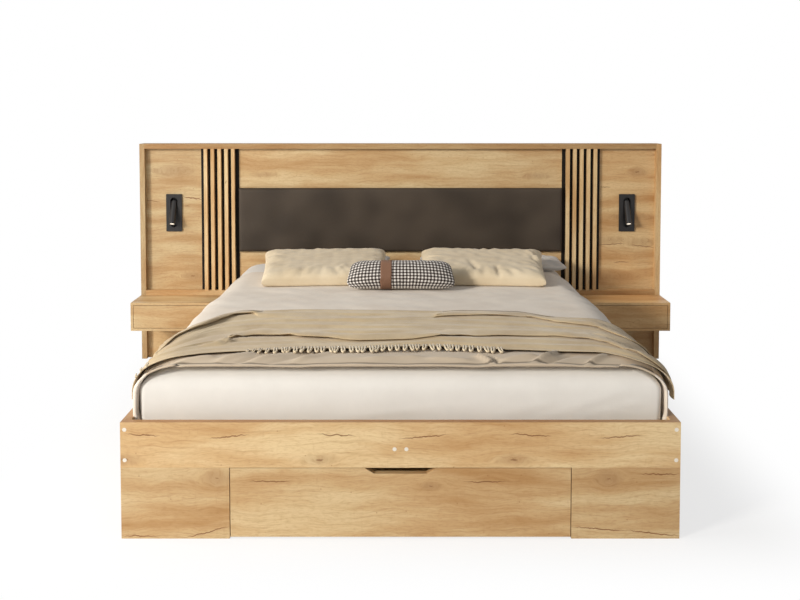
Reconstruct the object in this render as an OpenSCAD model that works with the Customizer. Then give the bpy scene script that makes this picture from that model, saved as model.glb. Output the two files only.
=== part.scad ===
// Double bed, 160 x 200 cm, with a wide panelled headboard. A nightstand with one drawer and a folding
// reading lamp hangs on each side of the headboard, and a drawer on castors rolls out at the foot end.
// Millimetres. X runs to the right as seen from the foot end, Y towards the headboard, Z up.
// The origin is on the floor, in the middle of the bed's outline.

/* [Bed frame] */
// Width of the footboard and of the frame
bed_w = 1655; // [1500:5:1700]
// Foot face of the footboard to the front face of the headboard
bed_l = 2030; // [1980:5:2130]
// Height of the footboard and of the side rails' top edge
foot_h = 350; // [330:5:380]
// Thickness of the frame boards
board_t = 25; // [22:1:28]
// Height of the side rails
rail_h = 136; // [120:2:150]
// Number of slats under the mattress
slat_count = 14; // [8:1:18]

/* [Headboard] */
// Outer width of the headboard
head_w = 2624; // [2500:4:2700]
// Height of the headboard
head_h = 1092; // [1060:4:1200]
// Depth of the headboard's box
head_d = 100; // [96:2:120]
// How far the panels stand back from the front edge of the box
recess = 28; // [24:1:32]
// Thickness of the panels
panel_t = 16; // [12:1:19]
// Upright oak strips on each black panel
strip_count = 5; // [3:1:5]
// Width of an upright strip
strip_w = 17; // [12:1:20]

/* [Upholstered pad] */
// Height of the pad
pad_h = 322; // [280:2:360]
// Height of the pad's lower edge above the floor
pad_z = 546; // [540:2:560]
// Thickness of the pad with its board
pad_t = 36; // [30:1:44]

/* [Reading lamps] */
// Width of the wall plate
plate_w = 79; // [70:1:90]
// Height of the wall plate
plate_h = 189; // [180:1:200]
// Height of the plate's middle above the floor
lamp_z = 742; // [720:2:760]
// Distance of a lamp from the middle of the bed
lamp_x = 1146; // [1120:2:1170]
// Diameter of the lamp head
lamp_d = 30; // [24:1:31]
// Length of the lamp head
lamp_l = 124; // [100:1:126]
// Tilt of the lamp head out of its slot at rest, in degrees
lamp_tilt = 28; // [0:1:80]

/* [Nightstands] */
// Depth of a nightstand in front of the headboard
stand_d = 195; // [180:5:260]
// Height of a nightstand
stand_h = 137; // [125:1:150]
// Height of a nightstand's top above the floor
stand_top = 326; // [322:1:326]
// Thickness of a nightstand's boards
case_t = 12; // [10:1:18]

/* [Foot drawer] */
// Width of the drawer front
drawer_w = 1008; // [900:4:1060]
// Length of the drawer box
drawer_l = 700; // [500:10:760]
// Radius of a castor wheel
wheel_r = 15; // [12:0.5:16]

/* [Bedding] */
// Height of the mattress
mattress_h = 190; // [180:2:200]
// Depth of a front pillow
pillow_d = 480; // [420:5:490]
// Width of the chequered cushion
cushion_w = 455; // [400:5:480]

/* [Hidden] */
LEFT = -1;
RIGHT = 1;
gap = 2;                                     // joint round a drawer front
slip = 0.3;                                  // play between pieces that slide or only touch
oak = "#d9b783";
oak_edge = "#cfae7d";
ply = "#d8c39c";
black = "#17140f";
anthracite = "#3b3734";
steel = "#b9bcc0";

// Frame lines
half_w = bed_w / 2;
foot_y = -(bed_l + head_d) / 2;              // foot face of the footboard
head_y = foot_y + bed_l;                     // front edges of the headboard
back_y = head_y + head_d;                    // back of the headboard
panel_y = head_y + recess;                   // front of the recessed panels
panel_back = panel_y + panel_t;
rail_z = foot_h - rail_h;                    // lower edge of the side rails
rail_in = half_w - board_t;                  // inner face of the side rails
inner_foot = foot_y + board_t;               // inner face of the footboard

// Headboard lines
side_in = head_w / 2 - board_t;              // inner face of the headboard's sides
top_z = head_h - board_t;                    // underside of the headboard's top
shelf_z = foot_h - board_t;                  // underside of the shelf rails
pad_half = 816;                              // half the pad's width, and the panel behind it
pad_wrap = 6;                                // foam and cover over the edges of the pad's board
pad_board_t = 8;
strip_zone = 191;                            // width of the black panel
strip_pitch = 34.5;
wing_in = pad_half + 1 + strip_zone;         // inner edge of the wing panels
plinth_h = 56;                               // joint in the lower panel

// Slatted base
ledge_h = 30;
ledge_w = 25;
slat_t = 15;
slat_w = 68;
beam_w = 70;
beam_h = 36;
bolt_z = [22, rail_h - 22.5];                // bolts below the rail's top edge
beam_bolt_x = 17.5;
beam_z = 269.5;                              // middle of the centre beam
base_z = beam_z + beam_h / 2;                // slats lie on this height
bed_z = base_z + slat_t;                     // mattress lies on this height

// Foot drawer
drawer_gap = 2.5;                            // joint at the ends of the drawer front
drawer_head_gap = 1.5;                       // joint above it
drawer_floor_gap = 5.6;
drawer_half = drawer_w / 2;
drawer_top = rail_z - drawer_head_gap;
box_half = 490;                              // outer half width of the drawer box
box_t = 12;
box_z = 40;                                  // underside of the drawer's floor
box_top = 190;
wheel_w = 16;
pin_r = 3;
fork_x = 440;
fork_y = [inner_foot + 45, inner_foot + drawer_l - 45];

// Nightstand
stand_in = half_w + 1.5;
stand_out = head_w / 2;
stand_y = head_y - stand_d;
stand_z = stand_top - stand_h;
case_back = 12;                              // thickness of the back
runner_w = 12;                               // space for a guide strip beside the small drawer
runner_h = 10;                               // its height under the drawer
night_t = 10;                                // walls of the small drawer
night_floor = 5;

// Lamps
lamp_pivot_z = lamp_z + 44;
lamp_pivot_y = panel_y - 3;
plate_t = 8;
slot_w = 36;
slot_lo = lamp_z - 74;
slot_hi = lamp_z + 78;
slot_deep = 28;                              // depth of the slot behind the panel's front
lamp_pin_r = 2.5;

// Bedding
soft_x = 788;                                // half width of the mattress
mattress_y = [inner_foot + 37, panel_y - 2];
mattress_top = bed_z + 0.5 + mattress_h;
edge_r = 70;                                 // height of the mattress's top rounding
edge_in = 119;                               // its width at the long sides
shoulder_steps = 4;                          // facets of the cloth over the mattress's long edges
shoulder_r = (edge_r + 0.5) / cos(45 / shoulder_steps);
shoulder_wide = (edge_in + 0.5) / cos(45 / shoulder_steps);
duvet_t = 20;
duvet_y = [mattress_y[0] - 5, 590];
duvet_top = mattress_top - edge_r + shoulder_r + duvet_t;
pillow_y = 185;                              // front edge of the front pillows

// ---- Helpers ----

// A board between two opposite corners
module board(low, high) {
    translate(low) cube(high - low);
}

// Draws the right-hand piece, or its mirror image on the left
module on_side(side) {
    mirror([side == LEFT ? 1 : 0, 0, 0]) children();
}

// A closed solid between two grids of points, rows along Y and columns along X
module grid_solid(top, bottom) {
    rows = len(top);
    cols = len(top[0]);
    count = rows * cols;
    function t(i, j) = i * cols + j;
    function b(i, j) = count + i * cols + j;
    faces = concat(
        [for (i = [0:rows - 2], j = [0:cols - 2]) each
            [[t(i, j), t(i + 1, j), t(i + 1, j + 1)], [t(i, j), t(i + 1, j + 1), t(i, j + 1)],
             [b(i, j), b(i + 1, j + 1), b(i + 1, j)], [b(i, j), b(i, j + 1), b(i + 1, j + 1)]]],
        [for (j = [0:cols - 2]) let (e = rows - 1) each
            [[b(0, j), t(0, j), t(0, j + 1)], [b(0, j), t(0, j + 1), b(0, j + 1)],
             [b(e, j), t(e, j + 1), t(e, j)], [b(e, j), b(e, j + 1), t(e, j + 1)]]],
        [for (i = [0:rows - 2]) let (e = cols - 1) each
            [[b(i, 0), b(i + 1, 0), t(i + 1, 0)], [b(i, 0), t(i + 1, 0), t(i, 0)],
             [b(i, e), t(i + 1, e), b(i + 1, e)], [b(i, e), t(i, e), t(i + 1, e)]]]);
    polyhedron([each [for (row = top) each row], each [for (row = bottom) each row]], faces);
}

// A closed solid from a stack of level rings, counted from below, each with the same number of points
module ring_solid(rings) {
    n = len(rings[0]);
    last = len(rings) - 1;
    sides = [for (k = [0:last - 1], j = [0:n - 1]) let (a = k * n + j, b = k * n + (j + 1) % n) each
        [[a, a + n, b + n], [a, b + n, b]]];
    floor = [for (j = [0:n - 1]) j];
    top = [for (j = [n - 1:-1:0]) last * n + j];
    polyhedron([for (ring = rings) each ring], concat([floor], sides, [top]));
}

// ---- Cushions: crowned, with sides drawn in between the corners ----

function cushion_height(u, v) = pow((1 - pow(abs(u), 2.6)) * (1 - pow(abs(v), 2.6)), 0.5);

// One face of a cushion: lift is its height over the rim's plane, flat its limit where it rests
function cushion_face(w, l, lift, rim, flat, drawn, nx = 14, ny = 10) =
    [for (i = [0:ny]) let (v = sin(180 * i / ny - 90))
        [for (j = [0:nx]) let (u = sin(180 * j / nx - 90), h = rim + lift * cushion_height(u, v))
            [w / 2 * u * (1 - drawn * (1 - v * v)), l / 2 * v * (1 - drawn * (1 - u * u)),
             min(h, flat)]]];

function below(face) = [for (row = face) [for (p = row) [p[0], p[1], -p[2]]]];

module cushion(w, l, up, down, rest, drawn = 0.05, rim = 3) {
    grid_solid(cushion_face(w, l, up - rim, rim, up, drawn),
        below(cushion_face(w, l, down - rim, rim, rest, drawn)));
}

// ---- Cloth laid over the mattress: flat top, round shoulders, hanging sides ----

// Length of a quarter of the shoulder: wide across the bed and high
function quarter(wide, high) = PI / 2 * sqrt((wide * wide + high * high) / 2);

// A point at the distance q from the middle line, measured over the cloth
function drape(q, y, cx, cz, wide, high, out) =
    let (side = sign(q), d = abs(q), arc = quarter(wide, high))
    d < cx ? [side * d, y, cz + high + out]
    : d < cx + arc ? let (a = 90 * (d - cx) / arc)
        [side * (cx + (wide + out) * sin(a)), y, cz + (high + out) * cos(a)]
    : [side * (cx + wide + out), y, cz - (d - cx - arc)];

// Distances across the cloth: even on top, closer over the shoulders
function across(cx, wide, high, drop, tops = 7, arcs = shoulder_steps, sides = 2) =
    let (arc = quarter(wide, high), half = concat([for (k = [1:tops]) cx * k / tops],
        [for (k = [1:arcs]) cx + arc * k / arcs], [for (k = [1:sides]) cx + arc + drop * k / sides]))
    concat([for (k = [len(half) - 1:-1:0]) -half[k]], [0], half);

// ---- Headboard ----

module headboard_side(side) {
    on_side(side) color(oak_edge)
        board([side_in, head_y, 0], [side_in + board_t, back_y, head_h]);
}

module headboard_top() {
    color(oak_edge) board([-side_in, head_y, top_z], [side_in, back_y, head_h]);
}

// Panel beside the strips, with the cut-out that takes the lamp's housing
module wing_panel(side) {
    on_side(side) color(oak) difference() {
        board([wing_in, panel_y, foot_h], [side_in, panel_back, top_z]);
        board([lamp_x - 30, panel_y - 1, slot_lo - 7], [lamp_x + 30, panel_back + 1, slot_hi + 7]);
    }
}

module shelf_rail(side) {
    on_side(side) color(oak_edge)
        board([half_w + 0.5, head_y, shelf_z], [side_in, panel_back, foot_h]);
}

module strip_backing(side) {
    on_side(side) color(black)
        board([pad_half + 1, panel_y, foot_h], [wing_in, panel_back, top_z]);
}

module oak_strips(side) {
    first = pad_half + 1 + (strip_zone - (strip_count - 1) * strip_pitch) / 2;
    on_side(side) color(oak) for (k = [0:strip_count - 1])
        translate([first + k * strip_pitch - strip_w / 2, head_y + 2, foot_h])
            cube([strip_w, recess - 2, top_z - foot_h]);
}

module centre_panel() {
    color(oak) board([-pad_half, panel_y, shelf_z], [pad_half, panel_back, top_z]);
}

module pad_board() {
    color(ply) board([-pad_half + pad_wrap, panel_y - pad_board_t, pad_z + pad_wrap],
        [pad_half - pad_wrap, panel_y, pad_z + pad_h - pad_wrap]);
}

// Foam pad in its cover: soft round edges at the front, wrapped over the board's edges
module headboard_pad() {
    r = 13;
    color("#4c4238") difference() {
        hull() {
            for (x = [-1, 1], z = [pad_z + r, pad_z + pad_h - r])
                translate([x * (pad_half - r), panel_y - pad_t + r, z]) sphere(r, $fn = 20);
            board([-pad_half + 0.5, panel_y - 9, pad_z + 0.5],
                [pad_half - 0.5, panel_y, pad_z + pad_h - 0.5]);
        }
        board([-pad_half + pad_wrap, panel_y - pad_board_t, pad_z + pad_wrap],
            [pad_half - pad_wrap, panel_y + 1, pad_z + pad_h - pad_wrap]);
    }
}

module lower_panel() {
    color(oak) board([-side_in, panel_y, plinth_h], [side_in, panel_back, shelf_z]);
}

module plinth_strip() {
    color(oak) board([-side_in, panel_y, 0], [side_in, panel_back, plinth_h - 0.5]);
}

post_x = [792, 842];
post_back = back_y - 8;

module headboard_posts() {
    color(ply) for (side = [LEFT, RIGHT]) on_side(side)
        board([post_x[0], panel_back, 0], [post_x[1], post_back, top_z]);
}

// Battens behind the joints of the panels, between the posts and the sides
module back_battens() {
    color(ply) {
        for (z = [plinth_h, foot_h, top_z - 20], side = [LEFT, RIGHT]) on_side(side)
            board([post_x[1], panel_back, z - 20], [side_in, post_back, z + 20]);
        for (z = [foot_h, pad_z, pad_z + pad_h, top_z - 20])
            board([-post_x[0], panel_back, z - 20], [post_x[0], post_back, z + 20]);
    }
}

// ---- Reading lamps ----

// Upright slot with round ends
module slot(w, depth) {
    low = slot_lo + w / 2;
    high = slot_hi - w / 2;
    start = panel_y - plate_t - 1;
    for (z = [low, high])
        translate([lamp_x, start, z]) rotate([-90, 0, 0]) cylinder(d = w, h = depth, $fn = 48);
    board([lamp_x - w / 2, start, low], [lamp_x + w / 2, start + depth, high]);
}

// Front plate with rounded corners
module plate() {
    r = 3;
    w = plate_w / 2;
    h = plate_h / 2;
    translate([lamp_x, panel_y - plate_t, lamp_z]) {
        board([-w + r, 0, -h], [w - r, plate_t, h]);
        board([-w, 0, -h + r], [w, plate_t, h - r]);
        for (x = [-w + r, w - r], z = [-h + r, h - r])
            translate([x, 0, z]) rotate([-90, 0, 0]) cylinder(r = r, h = plate_t, $fn = 24);
    }
}

// Plate and housing in one casting, with the head's pivot pin across the top of the slot
module lamp_plate(side) {
    on_side(side) color(anthracite) {
        difference() {
            union() {
                plate();
                board([lamp_x - 29.5, panel_y, slot_lo - 6.5],
                    [lamp_x + 29.5, panel_y + slot_deep + 4, slot_hi + 6.5]);
            }
            slot(slot_w, plate_t + 1 + slot_deep);
        }
        translate([lamp_x - slot_w / 2 - 2, lamp_pivot_y, lamp_pivot_z]) rotate([0, 90, 0])
            cylinder(r = lamp_pin_r, h = slot_w + 4, $fn = 24);
    }
}

// Places a lamp head, drawn hanging from its pivot, at its tilt
module at_lamp(side) {
    on_side(side) translate([lamp_x, lamp_pivot_y, lamp_pivot_z]) rotate([-lamp_tilt, 0, 0]) children();
}

lamp_above = 15;                             // head above its pivot
lens_d = 24;
lens_t = 3;
lens_in = 3;                                 // lens behind the head's end

module lamp_head(side) {
    at_lamp(side) color(anthracite) difference() {
        translate([0, 0, lamp_above - lamp_l]) rotate_extrude($fn = 48) polygon([[0, 0],
            [lamp_d / 2 - 1, 0], [lamp_d / 2, 1], [lamp_d / 2, lamp_l - 2], [lamp_d / 2 - 2, lamp_l],
            [0, lamp_l]]);
        translate([0, 0, lamp_above - lamp_l - 1])
            cylinder(d = lens_d + 0.2, h = lens_in + lens_t + 1, $fn = 48);
        translate([-lamp_d, 0, 0]) rotate([0, 90, 0])
            cylinder(r = lamp_pin_r + 0.06, h = lamp_d * 2, $fn = 24);
    }
}

module lamp_lens(side) {
    at_lamp(side) color("#f7f1e0") translate([0, 0, lamp_above - lamp_l + lens_in])
        cylinder(d = lens_d, h = lens_t, $fn = 48);
}

// ---- Nightstands ----

module nightstand_top(side) {
    on_side(side) color(oak)
        board([stand_in + case_t, stand_y, stand_top - case_t], [stand_out - case_t, head_y, stand_top]);
}

// Bottom, two sides and back: four boards, each a solid of its own
module nightstand_case(side) {
    seam = 0.1;
    on_side(side) color(oak_edge) {
        for (x = [stand_in, stand_out - case_t + seam])
            board([x, stand_y, stand_z], [x + case_t - seam, head_y, stand_top]);
        board([stand_in + case_t, stand_y, stand_z],
            [stand_out - case_t, head_y - case_back - seam, stand_z + case_t]);
        board([stand_in + case_t, head_y - case_back, stand_z],
            [stand_out - case_t, head_y, stand_top - case_t]);
    }
}

// Cleat that carries each nightstand, in the recess behind it
module nightstand_cleats() {
    color(ply) for (side = [LEFT, RIGHT]) on_side(side)
        board([stand_in, head_y, stand_z + case_t], [side_in, panel_y, shelf_z]);
}

module drawer_front(side) {
    on_side(side) color(oak) board([stand_in + case_t + gap, stand_y, stand_z + case_t + gap],
        [stand_out - case_t - gap, stand_y + case_t, stand_top - case_t - gap]);
}

night_x = [stand_in + case_t + runner_w, stand_out - case_t - runner_w];
night_y = [stand_y + case_t, head_y - case_back - 10];
night_z = [stand_z + case_t + runner_h, stand_top - case_t - 21];

// Small drawer: two sides, back and floor, each a solid of its own
module drawer_box(side) {
    seam = 0.1;
    on_side(side) color(ply) {
        for (x = [night_x[0], night_x[1] - night_t])
            board([x, night_y[0], night_z[0]], [x + night_t, night_y[1], night_z[1]]);
        board([night_x[0] + night_t + seam, night_y[1] - night_t, night_z[0]],
            [night_x[1] - night_t - seam, night_y[1], night_z[1]]);
        board([night_x[0] + night_t + seam, night_y[0], night_z[0]],
            [night_x[1] - night_t - seam, night_y[1] - night_t - seam, night_z[0] + night_floor]);
    }
}

// Angled guide strips under both edges of each small drawer
module drawer_runners() {
    side_h = 34;
    foot_w = 24;
    start = case_back + 2;
    long = stand_d - case_t - start - 4;
    angle = [[0, 0], [foot_w, 0], [foot_w, runner_h - slip], [runner_w - slip, runner_h - slip],
        [runner_w - slip, side_h], [0, side_h]];
    color("#e8e4da") for (side = [LEFT, RIGHT], end = [0, 1]) on_side(side)
        translate([end == 0 ? stand_in + case_t : stand_out - case_t, head_y - start, stand_z + case_t])
            mirror([end, 0, 0]) rotate([90, 0, 0]) linear_extrude(long) polygon(angle);
}

// ---- Bed frame ----

// Places what it holds at each bolt of the footboard, pointing towards the head
module at_bolts() {
    rail_x = half_w - board_t / 2;
    spots = concat([for (side = [LEFT, RIGHT], d = bolt_z) [side * rail_x, foot_h - d]],
        [for (side = [LEFT, RIGHT]) [side * beam_bolt_x, beam_z]]);
    for (s = spots) translate([s[0], foot_y, s[1]]) rotate([-90, 0, 0]) children();
}

bolt_r = 3;
bolt_l = 62;
head_r = 5;
cap_r = 6;

leg_in = drawer_half + drawer_gap;            // inner edge of the footboard's legs

// Tongue along the top edge of a leg, or the groove that takes it with some play
module leg_tongue(play = 0) {
    inset = 20;
    t = 8;
    y = foot_y + (board_t - t) / 2;
    board([leg_in + inset - play, y - play, rail_z - 1],
        [half_w - inset + play, y + t + play, rail_z + t + play]);
}

// Top board of the footboard, over the drawer and the legs
module footboard() {
    color(oak) difference() {
        board([-half_w, foot_y, rail_z], [half_w, inner_foot, foot_h]);
        for (side = [LEFT, RIGHT]) on_side(side) leg_tongue(slip / 2);
        at_bolts() {
            translate([0, 0, -1]) cylinder(r = cap_r + 0.1, h = 6.5, $fn = 32);
            cylinder(r = bolt_r + 0.2, h = board_t + 1, $fn = 24);
        }
    }
}

// Leg boards beside the drawer, with a fine chamfer along the joint
module foot_legs() {
    chamfer = 0.8;
    color(oak) for (side = [LEFT, RIGHT]) on_side(side) {
        translate([leg_in, foot_y, 0]) rotate([90, 0, 90]) linear_extrude(half_w - leg_in)
            polygon([[0, 0], [board_t, 0], [board_t, rail_z], [chamfer, rail_z],
                [0, rail_z - chamfer]]);
        leg_tongue();
    }
}

module side_rail(side) {
    color(oak_edge) difference() {
        on_side(side) board([rail_in, inner_foot, rail_z], [half_w, panel_y, foot_h]);
        at_bolts() cylinder(r = bolt_r + 0.2, h = bolt_l + 6, $fn = 24);
    }
}

module slat_ledges() {
    color(ply) for (side = [LEFT, RIGHT]) on_side(side)
        board([rail_in - ledge_w, inner_foot, base_z - ledge_h], [rail_in, panel_y - board_t, base_z]);
}

module centre_beam() {
    color(ply) difference() {
        board([-beam_w / 2, inner_foot, base_z - beam_h], [beam_w / 2, panel_y - board_t, base_z]);
        at_bolts() cylinder(r = bolt_r + 0.2, h = bolt_l + 6, $fn = 24);
    }
}

module centre_legs() {
    leg = 40;
    color(ply) for (y = [-250, 420])
        board([-leg / 2, y - leg / 2, 0], [leg / 2, y + leg / 2, base_z - beam_h]);
}

module head_crossboard() {
    color(ply) board([-rail_in, panel_y - board_t, rail_z], [rail_in, panel_y, base_z]);
}

module bed_slats() {
    first = inner_foot + 55;
    last = panel_y - board_t - 40;
    color("#e3cfa6") for (k = [0:slat_count - 1])
        translate([-rail_in + 1.5, first + (last - first) * k / (slat_count - 1) - slat_w / 2, base_z])
            cube([2 * rail_in - 3, slat_w, slat_t]);
}

module frame_bolts() {
    color(steel) at_bolts() translate([0, 0, 1.7]) {
        difference() {
            cylinder(r = head_r, h = 3.6, $fn = 32);
            translate([0, 0, -0.1]) cylinder(r = 2, h = 2.5, $fn = 6);
        }
        translate([0, 0, 3.6]) cylinder(r = bolt_r, h = bolt_l - 1.7, $fn = 24);
    }
}

module bolt_caps() {
    color("#efe9dd") at_bolts() cylinder(r = cap_r, h = 1.5, $fn = 32);
}

// Steel angles that hold the rails and the crossboard together at the head end
module corner_brackets() {
    leg = 50;
    t = 3;
    color(steel) for (side = [LEFT, RIGHT]) on_side(side)
        translate([rail_in, panel_y - board_t, rail_z + 3]) linear_extrude(ledge_h)
            polygon([[0, 0], [-leg, 0], [-leg, -t], [-t, -t], [-t, -leg], [0, -leg]]);
}

// ---- Foot drawer ----

// Front board with the finger notch in its top edge
module foot_drawer_front() {
    notch = [210, 155, 17];                  // width at the top, width at the bottom, depth
    color(oak) difference() {
        board([-drawer_half, foot_y, drawer_floor_gap], [drawer_half, inner_foot, drawer_top]);
        translate([0, inner_foot + 1, drawer_top]) rotate([90, 0, 0]) linear_extrude(board_t + 2)
            polygon([[-notch[0] / 2, 0.01], [-notch[1] / 2, -notch[2]], [notch[1] / 2, -notch[2]],
                [notch[0] / 2, 0.01], [notch[0] / 2, 5], [-notch[0] / 2, 5]]);
    }
}

// Two sides, back and floor, each a solid of its own
module foot_drawer_box() {
    seam = 0.1;
    end = inner_foot + drawer_l;
    color(ply) {
        for (side = [LEFT, RIGHT]) on_side(side)
            board([box_half - box_t, inner_foot, box_z], [box_half, end, box_top]);
        board([-box_half + box_t + seam, end - box_t, box_z], [box_half - box_t - seam, end, box_top]);
        board([-box_half + box_t + seam, inner_foot, box_z],
            [box_half - box_t - seam, end - box_t - seam, box_z + 6]);
    }
}

module castor_forks() {
    cheek = 3;
    inside = wheel_w / 2 + 0.5;
    outline = [[-13, box_z], [13, box_z], [13, box_z - 5], [7, wheel_r - 6], [-7, wheel_r - 6],
        [-13, box_z - 5]];
    color("#2b2a28") for (x = [-fork_x, fork_x], y = fork_y) translate([x, y, 0]) {
        for (side = [-1, 1]) translate([side * (inside + cheek / 2), 0, 0]) rotate([90, 0, 90])
            translate([0, 0, -cheek / 2]) linear_extrude(cheek) polygon(outline);
        board([-inside - cheek, -13, box_z - 5], [inside + cheek, 13, box_z]);
        translate([-inside - 1, 0, wheel_r]) rotate([0, 90, 0])
            cylinder(r = pin_r, h = 2 * inside + 2, $fn = 24);
    }
}

// Wheel with a crowned tread and recessed faces round its hub
module wheel(x, y) {
    color("#4a4a4a") translate([x, y, wheel_r]) rotate([0, 90, 0]) rotate_extrude($fn = 48)
        polygon([[pin_r + 0.06, -wheel_w / 2], [pin_r + 3, -wheel_w / 2], [pin_r + 3.5, -wheel_w / 2 + 2],
            [wheel_r - 3, -wheel_w / 2 + 2], [wheel_r - 2.5, -wheel_w / 2 + 0.5],
            [wheel_r - 0.5, -wheel_w / 2 + 1.5], [wheel_r, -wheel_w / 2 + 4], [wheel_r, wheel_w / 2 - 4],
            [wheel_r - 0.5, wheel_w / 2 - 1.5], [wheel_r - 2.5, wheel_w / 2 - 0.5],
            [wheel_r - 3, wheel_w / 2 - 2], [pin_r + 3.5, wheel_w / 2 - 2], [pin_r + 3, wheel_w / 2],
            [pin_r + 0.06, wheel_w / 2]]);
}

// ---- Bedding ----

// Mattress: its top edges fall away softly, more at the sides than at the ends
module mattress() {
    corner = 24;                             // rounding of the upright corners
    soften = 0.5;                            // how much rounder they get towards the top
    turns = 6;                               // facets of a corner
    steps = 5;                               // facets of an edge
    low = bed_z + 0.5;
    over = [edge_in, 62, edge_r];            // top rounding: across the bed, along it, and its height
    under = [25, 25, 25];
    // Level outline at the height z, drawn in across and along the bed
    function outline(z, dx, dy) = let (r = corner + soften * dy)
        [for (q = [0:3], k = [0:turns]) let (a = 90 * (q + k / turns))
            [(q == 0 || q == 3 ? 1 : -1) * (soft_x - dx - r) + r * cos(a),
             (q < 2 ? mattress_y[1] - dy - r : mattress_y[0] + dy + r) + r * sin(a), z]];
    // Outline at the angle a of a rounded edge, from 0 on the side to 90 on the flat
    function at(a, edge, from, way) = outline(from + way * edge[2] * (1 - sin(a)),
        edge[0] * (1 - cos(a)), edge[1] * (1 - cos(a)));
    angles = [for (k = [0:steps]) 90 * k / steps];
    color("#e4ddd4") ring_solid(concat([for (k = [steps:-1:0]) at(angles[k], under, low, 1)],
        [for (a = angles) at(a, over, mattress_top, -1)]));
}

// Duvet: smooth under the throw and the pillows, softly rolled at the hem and over the shoulders
module duvet() {
    hem_t = 10.5;                            // thickness of the hanging sides
    cx = soft_x - edge_in;
    cz = mattress_top - edge_r;
    drop = 88;
    rows = 14;
    hem = function (k) k == 0 || k == rows ? 7 : k == 1 || k == rows - 1 ? 15 : duvet_t;
    arc = quarter(shoulder_wide, shoulder_r);
    thick = function (q, k) let (side = max(0, min(1, (abs(q) - cx) / arc)))
        hem(k) * (1 - side) + min(hem(k), hem_t) * side;
    row_y = function (k) k == 0 ? duvet_y[0] : k == rows ? duvet_y[1]
        : duvet_y[0] + 12 + (duvet_y[1] - duvet_y[0] - 24) * (k - 1) / (rows - 2);
    qs = across(cx, shoulder_wide, shoulder_r, drop);
    at = function (q, k, out) drape(q, row_y(k), cx, cz, shoulder_wide, shoulder_r, out);
    outer = [for (k = [0:rows]) [for (q = qs) at(q, k, thick(q, k))]];
    inner = [for (k = [0:rows]) [for (q = qs) at(q, k, 0)]];
    color("#d9d0c4") grid_solid(outer, inner);
}

// Throw: laid askew across the bed, in long folds that run from side to side
throw_front = function (q) -898 - 92 * pow(min(1, abs(q) / 900), 3);
throw_mid = -349;                            // its back edge on the middle line
throw_back = function (q) q < 0
    ? throw_mid + 40 * sin(180 * min(1, -q / 620)) - 280 * pow(min(1, -q / 900), 4)
    : throw_mid - 250 * pow(min(1, q / 960), 3);

module throw() {
    over = duvet_t / 2 + 3.5;                // room for the duvet's shoulders
    high = shoulder_r + over;
    wide = shoulder_wide + over;
    cx = soft_x - edge_in - 1;
    cz = duvet_top + 1 - high;
    cloth = 5;
    drop = 50;
    rows = 18;
    ridge = function (t, at, width) max(0, 1 - abs(t - at) / width);
    folds = function (q, t) 12 * pow(ridge(t, 0.27 + 0.05 * cos(q / 4), 0.13), 0.8)
        + 9 * pow(ridge(t, 0.62 - 0.05 * sin(q / 5), 0.16), 0.8) + 5 * ridge(t, 0.9, 0.08);
    at = function (q, k, out)
        let (t = k / rows, y = throw_front(q) + (throw_back(q) - throw_front(q)) * t)
        drape(q, y, cx, cz, wide, high, out + (k == 0 || k == rows ? 0 : folds(q, t)));
    qs = across(cx, wide, high, drop);
    color("#cdb896") grid_solid([for (k = [0:rows]) [for (q = qs) at(q, k, cloth)]],
        [for (k = [0:rows]) [for (q = qs) at(q, k, 0)]]);
}

pillow_w = 585;
pillow_lean = 5;                             // the pillows' rear edges lie on the rear pillows
pillow_up = 58;
pillow_down = 30;
pillow_low = 19;                             // front edge above the duvet

// Front pillow: its front edge on the duvet, its rear edge raised, turned a little outwards
module pillow(x, turn) {
    rise = pillow_d / 2 * sin(pillow_lean);
    color("#dfcbab") translate([x, pillow_y + pillow_d / 2, duvet_top + pillow_low + rise])
        rotate([pillow_lean, 0, turn]) cushion(pillow_w, pillow_d, pillow_up, pillow_down, pillow_down);
}

// Flat pillows behind the front ones, on the mattress
module rear_pillows() {
    rest = 30;
    color("#e6e2dc") for (x = [-385, 430])
        translate([x, (duvet_y[1] + panel_y - pad_t) / 2 + 2, mattress_top + 0.5 + rest])
            cushion(680, 352, 36, 34, rest);
}

// Small chequered cushion, leaning on the front pillows
module check_cushion() {
    color("#8d8984") translate([2, 128, duvet_top + 60]) rotate([50, 0, 0])
        cushion(cushion_w, 140, 42, 40, 40, drawn = 0.07);
}

headboard_side(LEFT);  // headboard_side_left
headboard_side(RIGHT);  // headboard_side_right
headboard_top();
wing_panel(LEFT);  // wing_panel_left
wing_panel(RIGHT);  // wing_panel_right
shelf_rail(LEFT);  // shelf_rail_left
shelf_rail(RIGHT);  // shelf_rail_right
strip_backing(LEFT);  // strip_backing_left
strip_backing(RIGHT);  // strip_backing_right
oak_strips(LEFT);  // oak_strips_left
oak_strips(RIGHT);  // oak_strips_right
centre_panel();
pad_board();
headboard_pad();
lower_panel();
plinth_strip();
headboard_posts();
back_battens();
lamp_plate(LEFT);  // lamp_plate_left
lamp_plate(RIGHT);  // lamp_plate_right
lamp_head(LEFT);  // lamp_head_left
lamp_head(RIGHT);  // lamp_head_right
lamp_lens(LEFT);  // lamp_lens_left
lamp_lens(RIGHT);  // lamp_lens_right
nightstand_top(LEFT);  // nightstand_top_left
nightstand_top(RIGHT);  // nightstand_top_right
nightstand_case(LEFT);  // nightstand_case_left
nightstand_case(RIGHT);  // nightstand_case_right
nightstand_cleats();
drawer_front(LEFT);  // drawer_front_left
drawer_front(RIGHT);  // drawer_front_right
drawer_box(LEFT);  // drawer_box_left
drawer_box(RIGHT);  // drawer_box_right
drawer_runners();
footboard();
foot_legs();
side_rail(LEFT);  // side_rail_left
side_rail(RIGHT);  // side_rail_right
slat_ledges();
centre_beam();
centre_legs();
head_crossboard();
bed_slats();
frame_bolts();
bolt_caps();
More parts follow.
